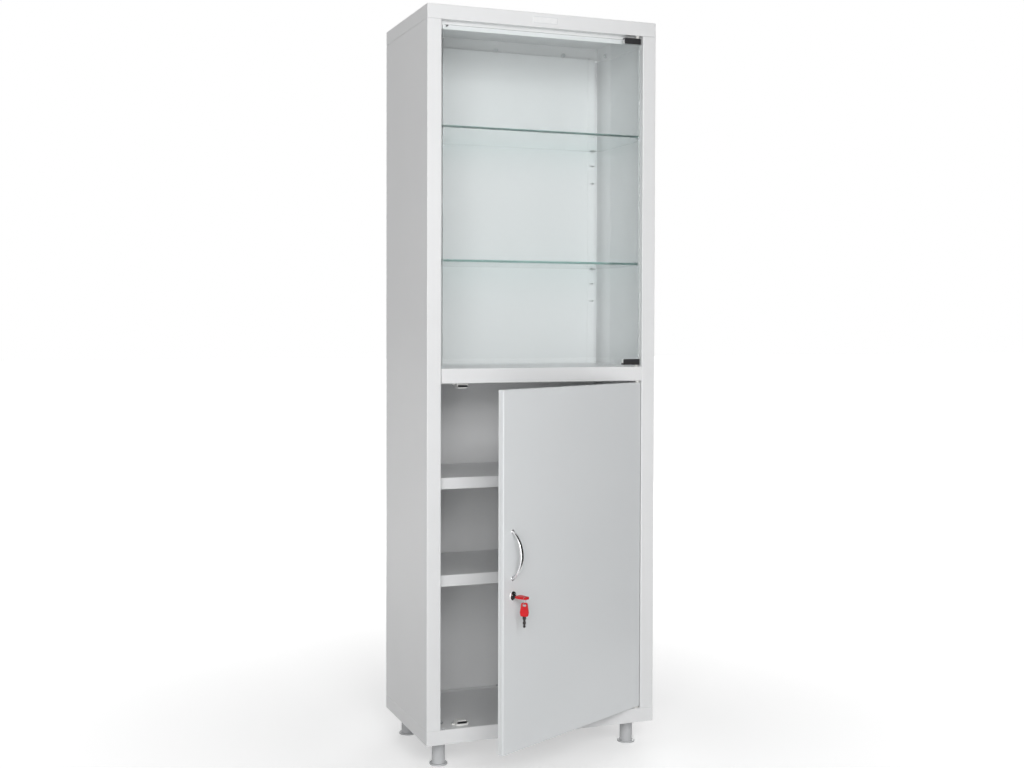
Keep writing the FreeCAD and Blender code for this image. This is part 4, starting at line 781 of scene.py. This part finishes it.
# legs: moulded tube on a broad foot
legShape = {"footHigh": 3.8 * mm, "tubeRadius": 14.25 * mm, "flare": 0.6 * mm, "chamfer": 1 * mm, "fillet": 1.4 * mm,
            "sole": 0.6 * mm, "brim": 1.0 * mm}
for name in ("leg_front_left", "leg_front_right", "leg_rear_left", "leg_rear_right"):
    low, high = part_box(name)
    centre = middle((low, high))
    foot = (high.x - low.x) / 2
    top = high.z - low.z
    footHigh, tube, chamfer = legShape["footHigh"], legShape["tubeRadius"], legShape["chamfer"]
    profile = roundOff([(0, 0, 0), (foot, 0, legShape["sole"]), (foot, footHigh, legShape["brim"]),
                        (tube + legShape["flare"], footHigh, legShape["fillet"]),
                        (tube, top - chamfer, 0), (tube - chamfer, top, 0), (0, top, 0)])
    place = shift((centre.x, centre.y, low.z))
    addPiece(name.title().replace("_", "").replace("Leg", "leg"), "carcass", [(lathe(profile, sides=72), place, 0)],
             [legPlastic], [name], smooth=35)

# rubber stop for the glass door, in shares of its radius and length
doorStop = {"girth": 0.32, "neck": 0.7, "neckEnd": 0.3, "shoulder": 0.36, "noseFrom": 0.85, "nose": 0.6,
            "noseRound": 0.3, "fillet": 0.4 * mm}


def makeStop(values):
    low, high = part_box("glass_door_bumper")
    radius = (high.x - low.x) * values["girth"]
    length = high.y - low.y
    neck, fillet, noseRound = radius * values["neck"], values["fillet"], radius * values["noseRound"]
    profile = roundOff([(0, 0, 0), (neck, 0, 0), (neck, length * values["neckEnd"], fillet),
                        (radius, length * values["shoulder"], fillet),
                        (radius, length * values["noseFrom"], noseRound),
                        (radius * values["nose"], length, noseRound), (0, length, 0)], steps=5)
    place = shift(((low.x + high.x) / 2, high.y, (low.z + high.z) / 2)) @ outOfDoor
    stop = lathe(profile, sides=40)
    addPiece("doorStop", "carcass", [(stop, place, 0)], [rubber], ["glass_door_bumper"], smooth=35)


makeStop(doorStop)

# blank plate on the cap
badgePlate = {"corner": 1.6 * mm, "rim": 1.2 * mm, "innerRound": 0.8 * mm, "edge": 0.2 * mm, "lapped": 1.6,
              "fieldThick": 0.6, "fieldBack": 0.15}


def makeBadge(values):
    low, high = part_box("badge_plate")
    size = high - low
    rim, innerRound = values["rim"], values["innerRound"]
    lapped = values["lapped"] * rim
    turned = shift(middle((low, high))) @ upright
    border = slab([rectangle(size.x, size.z, values["corner"]),
                   rectangle(size.x - 2 * rim, size.z - 2 * rim, innerRound)], size.y, values["edge"])
    field = slab([rectangle(size.x - lapped, size.z - lapped, innerRound)], size.y * values["fieldThick"], 0)
    sunk = shift((0, 0, -size.y * values["fieldBack"]))
    addPiece("blankBadge", "carcass", [(border, turned, 0), (field, turned @ sunk, 1)], [badgeSatin, badgeField],
             ["badge_plate"])


makeBadge(badgePlate)
print("catches, legs and plates made")


# fasteners and clips, laid out with geometry nodes

def newTree(name, sizes, whole=()):
    # sizes are numbers apart from the whole ones
    tree = bpy.data.node_groups.new(name, "GeometryNodeTree")
    tree.interface.new_socket("Geometry", in_out="INPUT", socket_type="NodeSocketGeometry")
    for label in (*whole, *sizes):
        kind = "NodeSocketInt" if label in whole else number
        tree.interface.new_socket(label, in_out="INPUT", socket_type=kind)
    tree.interface.new_socket("Finish", in_out="INPUT", socket_type="NodeSocketMaterial")
    tree.interface.new_socket("Geometry", in_out="OUTPUT", socket_type="NodeSocketGeometry")
    return tree, newNode(tree, "NodeGroupInput").outputs


def vectorOf(tree, x, y, z):
    return joined(tree, "ShaderNodeCombineXYZ", {0: x, 1: y, 2: z})


def moved(tree, shape, translation, rotation=(0, 0, 0)):
    return shaped(tree, "Transform", {
        "Geometry": shape, "Translation": translation, "Rotation": Euler(rotation)})


def combined(tree, operation, first, others):
    # first is left out where all shapes count alike
    node = newNode(tree, "GeometryNodeMeshBoolean", operation=operation, solver="EXACT")
    if first:
        tree.links.new(first, node.inputs["Mesh 1"])
    for other in others:
        tree.links.new(other, node.inputs["Mesh 2"])
    return node.outputs["Mesh"]


def setOut(tree, given, shape):
    # one shape on each seat, turned as the seat says, then realized and painted
    turn = newNode(tree, "GeometryNodeInputNamedAttribute", {"Name": "turn"}, data_type="FLOAT_VECTOR")
    rotation = joined(tree, "FunctionNodeEulerToRotation", {"Euler": turn.outputs["Attribute"]})
    laid = shaped(tree, "InstanceOnPoints", {
        "Points": given["Geometry"], "Instance": shape, "Rotation": rotation})
    real = shaped(tree, "RealizeInstances", {"Geometry": laid})
    finished = shaped(tree, "SetMaterial", {"Geometry": real, "Material": given["Finish"]})
    newNode(tree, "NodeGroupOutput", {"Geometry": finished})


screwForm = {"loops": 2, "fans": 6, "topFrom": 0.25, "crownPower": 2.4, "shankSides": 24}


def makeScrewTree(form):
    # head with a low crown and a cross recess, shank below its seat
    tree, given = newTree("screws", (
        "Head Radius", "Head Height", "Crown", "Shank Radius", "Shank Length", "Recess Width", "Recess Length",
        "Recess Depth"), ("Sides",))
    headHeight = given["Head Height"]
    blank = shaped(tree, "MeshCylinder", {
        "Vertices": given["Sides"], "Side Segments": form["loops"], "Fill Segments": form["fans"],
        "Radius": given["Head Radius"], "Depth": headHeight}, fill_type="TRIANGLE_FAN")
    position = newNode(tree, "GeometryNodeInputPosition").outputs[0]
    spot = newNode(tree, "ShaderNodeSeparateXYZ", {0: position}).outputs
    out = lengthOf(tree, vectorOf(tree, spot[0], spot[1], 0))
    share = calculate(tree, "DIVIDE", out, given["Head Radius"])
    onTop = calculate(tree, "GREATER_THAN", spot[2], times(tree, headHeight, form["topFrom"]))
    curve = calculate(tree, "POWER", share, form["crownPower"])
    drop = times(tree, curve, times(tree, headHeight, given["Crown"]))
    lift = minus(tree, times(tree, headHeight, 0.5), times(tree, drop, onTop))
    head = shaped(tree, "SetPosition", {"Geometry": blank, "Offset": vectorOf(tree, 0, 0, lift)})
    bar = shaped(tree, "MeshCube", {"Size": vectorOf(
        tree, given["Recess Length"], given["Recess Width"], times(tree, given["Recess Depth"], 2.0))})
    top = vectorOf(tree, 0, 0, headHeight)
    cut = combined(tree, "DIFFERENCE", head, (moved(tree, bar, top), moved(tree, bar, top, (0, 0, math.pi / 2))))
    crossed = calculate(tree, "GREATER_THAN", given["Recess Depth"], 0.0)
    chosen = shaped(tree, "Switch", {"Switch": crossed, "False": head, "True": cut}, input_type="GEOMETRY")
    shank = shaped(tree, "MeshCylinder", {
        "Vertices": form["shankSides"], "Radius": given["Shank Radius"], "Depth": given["Shank Length"]})
    shank = moved(tree, shank, vectorOf(tree, 0, 0, times(tree, given["Shank Length"], -0.5)))
    both = newNode(tree, "GeometryNodeJoinGeometry")
    tree.links.new(chosen, both.inputs[0])
    tree.links.new(shank, both.inputs[0])
    setOut(tree, given, both.outputs[0])
    return tree


# the cone that turns the corners off, in shares of the nut's height
nutForm = {"narrower": 0.17, "wider": 2.55, "coneHigh": 1.6, "coneSides": 48, "boreHigh": 3.0, "boreSides": 32}


def makeNutTree(form):
    # a bored prism whose upper corners are turned off, or a washer with many sides
    tree, given = newTree("nutsAndWashers", ("Corner Radius", "Turned Radius", "Height", "Bore Radius"), ("Sides",))
    height, turned = given["Height"], given["Turned Radius"]
    prism = shaped(tree, "MeshCylinder", {
        "Vertices": given["Sides"], "Radius": given["Corner Radius"], "Depth": height})
    prism = moved(tree, prism, vectorOf(tree, 0, 0, times(tree, height, 0.5)))
    cone = shaped(tree, "MeshCone", {
        "Vertices": form["coneSides"], "Radius Top": minus(tree, turned, times(tree, height, form["narrower"])),
        "Radius Bottom": plus(tree, turned, times(tree, height, form["wider"])),
        "Depth": times(tree, height, form["coneHigh"])})
    cone = moved(tree, cone, vectorOf(tree, 0, 0, times(tree, height, -0.5)))
    bore = shaped(tree, "MeshCylinder", {
        "Vertices": form["boreSides"], "Radius": given["Bore Radius"],
        "Depth": times(tree, height, form["boreHigh"])})
    rounded = combined(tree, "INTERSECT", None, (prism, cone))
    setOut(tree, given, combined(tree, "DIFFERENCE", rounded, (bore,)))
    return tree


def makeClipTree(bendSteps=4):
    # a strip bent into a ledge, an upright and a hook that goes through the slot
    tree, given = newTree("shelfClips", ("Gauge", "Width", "Ledge", "Rise", "Through", "Hook", "Bend"))
    mid = times(tree, given["Gauge"], 0.5)
    foot = times(tree, mid, -1.0)
    back = plus(tree, times(tree, given["Through"], -1.0), mid)
    crown = minus(tree, given["Rise"], mid)
    hooked = minus(tree, given["Rise"], given["Hook"])
    spots = [(given["Ledge"], foot), (mid, foot), (mid, crown), (back, crown), (back, hooked)]
    picked = newNode(tree, "GeometryNodeIndexSwitch", data_type="VECTOR")
    while len(picked.index_switch_items) < len(spots):
        picked.index_switch_items.new()
    fill(tree, picked, {"Index": newNode(tree, "GeometryNodeInputIndex").outputs[0]})
    for index, (y, z) in enumerate(spots):
        fill(tree, picked, {1 + index: vectorOf(tree, 0, y, z)})
    chain = shaped(tree, "MeshLine", {"Count": len(spots)})
    chain = shaped(tree, "SetPosition", {"Geometry": chain, "Position": picked.outputs[0]})
    path = shaped(tree, "MeshToCurve", {"Mesh": chain})
    path = shaped(tree, "FilletCurve", {
        "Curve": path, "Radius": given["Bend"], "Count": bendSteps, "Limit Radius": True}, mode="POLY")
    path = shaped(tree, "SetCurveNormal", {"Curve": path, "Normal": (1.0, 0.0, 0.0)}, mode="FREE")
    strip = shaped(tree, "CurvePrimitiveQuadrilateral", {
        "Width": given["Width"], "Height": given["Gauge"]})
    clip = shaped(tree, "CurveToMesh", {"Curve": path, "Profile Curve": strip, "Fill Caps": True})
    setOut(tree, given, clip)
    return tree


screwTree = makeScrewTree(screwForm)
nutTree = makeNutTree(nutForm)
clipTree = makeClipTree()


def layOut(name, tree, sizes, seats, body, finish, replaces, place=unmoved, smooth=35):
    # seats are (point, direction of the head) or (point, turn about Z)
    points = bpy.data.meshes.new(name + "Seats")
    points.from_pydata([seat for seat, way in seats], [], [])
    turns = points.attributes.new("turn", "FLOAT_VECTOR", "POINT")
    for index, (seat, way) in enumerate(seats):
        turned = (0, 0, way) if isinstance(way, float) else way.to_track_quat("Z", "Y").to_euler()
        turns.data[index].vector = turned[:]
    holder = bpy.data.objects.new(name + "Seats", points)
    scene.collection.objects.link(holder)
    modifier = holder.modifiers.new(name, "NODES")
    modifier.node_group = tree
    values = dict(sizes, Finish=finish)
    for item in tree.interface.items_tree:
        if item.in_out == "INPUT" and item.name in values:
            modifier[item.identifier] = values[item.name]
    graph = bpy.context.evaluated_depsgraph_get()
    mesh = bpy.data.meshes.new_from_object(holder.evaluated_get(graph), depsgraph=graph)
    holder.modifiers.remove(modifier)
    bpy.data.objects.remove(holder)
    mesh.materials.clear()
    mesh.transform(place)
    print(name, len(mesh.polygons), "faces")
    return showPiece(name, body, mesh, [finish], replaces, smooth)


def lookOf(way, low, high):
    # the way that a solid looks, and its length along it
    look = Vector(way(low, high) if callable(way) else way)
    return look, sum(abs(part) * size for part, size in zip(look, high - low))


def seatsOf(node, way, place, height=None):
    # the point under each head of a height, or under the whole solid, and the way that it looks
    seats = []
    for low, high in solidsOf(node, place):
        look, length = lookOf(way, low, high)
        seats.append((middle((low, high)) + look * (length / 2 - (height or length)), look))
    return seats


middleZ = middle(cadBox).z
upward, downward, inward = (0, 0, 1), (0, 0, -1), (0, 1, 0)


def fromDeckOrBase(low, high):
    return downward if low.z > middleZ / 2 else upward


def towardsMiddle(low, high):
    return (-1 if low.x > 0 else 1, 0, 0)


def capNutWay(low, high, besideFrom=0.9):
    # the rear nuts look forward, the side nuts look at each other
    rear = abs(low.x + high.x) / 2 < cadBox[1].x * besideFrom
    return (0, -1, 0) if rear else towardsMiddle(low, high)


# screws: the recess is a cross, in shares of the head's radius
plainScrew = {"sides": 36, "crown": 0.45, "recess": 0.0, "crossWide": 0.32, "crossLong": 1.25}
smallScrew = dict(plainScrew, head=2.8 * mm, headHeight=1.8 * mm, shank=1.5 * mm, recess=0.9 * mm)
frameBolt = dict(plainScrew, head=4.5 * mm, headHeight=2.5 * mm, shank=2.5 * mm, crown=0.75)
legBolt = dict(plainScrew, head=7.5 * mm, headHeight=4.5 * mm, shank=4 * mm, crown=0.12, sides=6)
handleScrew = dict(plainScrew, head=4 * mm, headHeight=2 * mm, shank=2 * mm, recess=1.1 * mm)
camScrew = dict(plainScrew, head=3.5 * mm, headHeight=2 * mm, shank=2 * mm, recess=1.0 * mm)
clampScrew = dict(plainScrew, head=1.5 * mm, headHeight=0.6 * mm, shank=1.2 * mm, crown=0.2, recess=0.4 * mm,
                  sides=24)
screwRows = [("CatchScrews", "catch_screws", "carcass", smallScrew, fromDeckOrBase, unmoved),
             ("StopRailScrews", "stop_rail_screws", "carcass", smallScrew, downward, unmoved),
             ("DeckScrews", "deck_screws", "carcass", smallScrew, towardsMiddle, unmoved),
             ("frameBolts", "frame_bolts", "carcass", frameBolt, upward, unmoved),
             ("legBolts", "leg_bolts", "carcass", legBolt, upward, unmoved),
             ("handleScrews", "handle_screws", "lower_door", handleScrew, inward, doorPlace),
             ("camScrew", "cam_screw", "lock", camScrew, inward, doorPlace),
             ("clampScrews", "clamp_screws", "glass_door", clampScrew, inward, unmoved)]
for name, node, body, values, way, place in screwRows:
    head, headHeight = values["head"], values["headHeight"]
    length = lookOf(way, *solidsOf(node, place)[0])[1]
    sizes = {"Sides": values["sides"], "Head Radius": head, "Head Height": headHeight, "Crown": values["crown"],
             "Shank Radius": values["shank"], "Shank Length": length - headHeight,
             "Recess Width": head * values["crossWide"], "Recess Length": head * values["crossLong"],
             "Recess Depth": values["recess"]}
    finish, slot = (darkSteel, "dark_steel") if values is clampScrew else (zinc, "zinc")
    layOut(name, screwTree, sizes, seatsOf(node, way, place, headHeight), body, finish, [node], place)

# nuts and washers: turned is the share of the width that the top keeps
plainNut = {"sides": 6, "turned": 0.95}
hexNut = dict(plainNut, flats=9.2 * mm, bore=2.45 * mm)
legWasher = {"flats": 20 * mm, "bore": 4.2 * mm, "sides": 64, "turned": 0.98}
lockNut = dict(plainNut, flats=22 * mm, bore=8.02 * mm)
nutRows = [("FrameNuts", "frame_nuts", "carcass", hexNut, downward, unmoved),
           ("CapNuts", "cap_nuts", "carcass", hexNut, capNutWay, unmoved),
           ("legWashers", "leg_washers", "carcass", legWasher, upward, unmoved),
           ("lockNut", "lock_nut", "lower_door", lockNut, inward, doorPlace)]
for name, node, body, values, way, place in nutRows:
    half = values["flats"] / 2
    sizes = {"Sides": values["sides"], "Corner Radius": half / math.cos(math.pi / values["sides"]),
             "Turned Radius": half * values["turned"], "Height": lookOf(way, *solidsOf(node, place)[0])[1],
             "Bore Radius": values["bore"]}
    layOut(name, nutTree, sizes, seatsOf(node, way, place), body, zinc, [node], place)

shelfClip = {"Gauge": 1.2 * mm, "Width": 10 * mm, "Bend": 1.0 * mm, "Through": 2.5 * mm, "Hook": 4 * mm}
for name, node in (("GlassShelfClips", "glass_shelf_clips"), ("SteelShelfClips", "steel_shelf_clips")):
    gauge, through = shelfClip["Gauge"], shelfClip["Through"]
    solids = solidsOf(node)
    seats = []
    for low, high in solids:
        front = low.y < 0
        wall = low.y + through if front else high.y - through
        seats.append((Vector(((low.x + high.x) / 2, wall, low.z + gauge)), 0.0 if front else math.pi))
    size = solids[0][1] - solids[0][0]
    sizes = dict(shelfClip, Ledge=size.y - through, Rise=size.z - gauge)
    layOut(name, clipTree, sizes, seats, "carcass", clipSteel, [node])
print("fasteners and clips made")


# stage, light and camera

def stageSheet(name, place, material):
    # a square of one metre, carried to its place
    shape = bmesh.new()
    bmesh.ops.create_grid(shape, x_segments=1, y_segments=1, size=0.5)
    shape.transform(place)
    mesh = meshOf(name, shape)
    mesh.materials.append(material)
    sheet = bpy.data.objects.new(name, mesh)
    scene.collection.objects.link(sheet)
    return sheet


def seenStraight(tree):
    # one for what is seen directly, in a mirror or through glass
    path = newNode(tree, "ShaderNodeLightPath").outputs
    seen = calculate(tree, "MAXIMUM", path["Is Camera Ray"], path["Is Glossy Ray"])
    return calculate(tree, "MAXIMUM", seen, path["Is Transmission Ray"])


# the floor glows more with its distance, so that no horizon line shows
white = (1, 1, 1, 1)
paleFloor = {"side": 60, "tone": (0.8, 0.8, 0.8, 1), "roughness": 0.9, "specular": 0.1, "glow": (0.42, 1.0),
             "reach": (0.5, 2.6)}


def makeFloor(values):
    material, tree, shader = newMaterial("paleFloor")
    fill(tree, shader, {"Base Color": values["tone"], "Roughness": values["roughness"],
                        "Specular IOR Level": values["specular"]})
    strength = spread(tree, lengthOf(tree, placeOn(tree)), *values["glow"], *values["reach"])
    glow = joined(tree, "ShaderNodeEmission", {"Color": white, "Strength": strength})
    none = joined(tree, "ShaderNodeEmission", {"Color": (0, 0, 0, 1), "Strength": 0.0})
    both = joined(tree, "ShaderNodeAddShader", {
        0: shader.outputs[0], 1: mixed(tree, seenStraight(tree), none, glow)})
    fill(tree, tree.nodes["Material Output"], {"Surface": both})
    floor = stageSheet("floor", Matrix.Diagonal((values["side"], values["side"], 1, 1)), material)


makeFloor(paleFloor)

roomLight = {"ambient": 0.235, "seen": 1.0}
world = bpy.data.worlds.new("studio")
scene.world = world
world.use_nodes = True
tree = world.node_tree
ambient = tree.nodes["Background"]
fill(tree, ambient, {"Color": white, "Strength": roomLight["ambient"]})
plain = joined(tree, "ShaderNodeBackground", {"Color": white, "Strength": roomLight["seen"]})
fill(tree, tree.nodes["World Output"], {"Surface": mixed(tree, seenStraight(tree), ambient.outputs[0], plain)})

# softboxes: (name, way from the object, distance, width, height, watts)
softboxes = [("keyBox", (-0.12, -0.945, 0.30), 3.75, 1.0, 1.0, 33.0),
             ("sideBox", (-0.43, -0.90, 0.10), 3.2, 1.3, 2.6, 44.0),
             ("topBox", (0.1, -0.05, 0.99), 4.0, 2.2, 2.2, 16.0),
             ("backBox", (0.52, 0.77, 0.37), 4.5, 2.4, 2.4, 42.0)]
aim = Vector((0, 0, middleZ))
for name, way, distance, width, height, watts in softboxes:
    lamp = bpy.data.lights.new(name, "AREA")
    lamp.shape = "RECTANGLE"
    lamp.size = width
    lamp.size_y = height
    lamp.energy = watts
    holder = bpy.data.objects.new(name, lamp)
    holder.location = aim + Vector(way).normalized() * distance
    holder.rotation_euler = (holder.location - aim).to_track_quat("Z", "Y").to_euler()
    holder.visible_camera = False
    scene.collection.objects.link(holder)

# dark cards that only polished metal shows: (name, place, way that it looks, width, height)
darkCards = [("cardBeside", (1.05, -0.55, 1.3), (1, -0.5, 0), 1.6, 3.6),
             ("cardBelow", (0.8, -0.95, 0.01), (0, 0, 1), 1.3, 1.1),
             ("cardBehind", (-1.7, -4.3, 0.95), (-0.4, -1, 0), 1.9, 1.9)]
cardFelt, tree, shader = newMaterial("darkCard")
fill(tree, shader, {"Base Color": (0.02, 0.02, 0.022, 1), "Roughness": 0.9})
for name, place, way, width, height in darkCards:
    turned = shift(place) @ lyingAlong(way) @ Matrix.Diagonal((width, height, 1, 1))
    card = stageSheet(name, turned, cardFelt)
    for ray in ("camera", "diffuse", "transmission", "shadow"):
        setattr(card, "visible_" + ray, False)

# the photograph's view
view = {"place": (-1.15192, -2.91367, 0.98463), "azimuth": -21.0, "elevation": 1.19, "roll": 0.14}
optics = {"lens": 46.956, "sensor_width": 36, "sensor_fit": "HORIZONTAL", "shift_x": 0.0070, "shift_y": -0.03485,
          "clip_start": 0.05, "clip_end": 200}
azimuth, elevation, roll = (math.radians(view[part]) for part in ("azimuth", "elevation", "roll"))
forward = Vector((-math.sin(azimuth) * math.cos(elevation), math.cos(azimuth) * math.cos(elevation),
                  -math.sin(elevation)))
right = forward.cross(Vector((0, 0, 1))).normalized()
above = right.cross(forward)
axisX = math.cos(roll) * right + math.sin(roll) * above
axisY = math.cos(roll) * above - math.sin(roll) * right
lens = bpy.data.cameras.new("photoView")
for name, value in optics.items():
    setattr(lens, name, value)
camera = bpy.data.objects.new("photoView", lens)
turned = Matrix((axisX, axisY, -forward)).transposed().to_4x4()
camera.matrix_world = shift(view["place"]) @ turned
scene.collection.objects.link(camera)
scene.camera = camera
scene.view_settings.view_transform = "Standard"
print("stage ready")
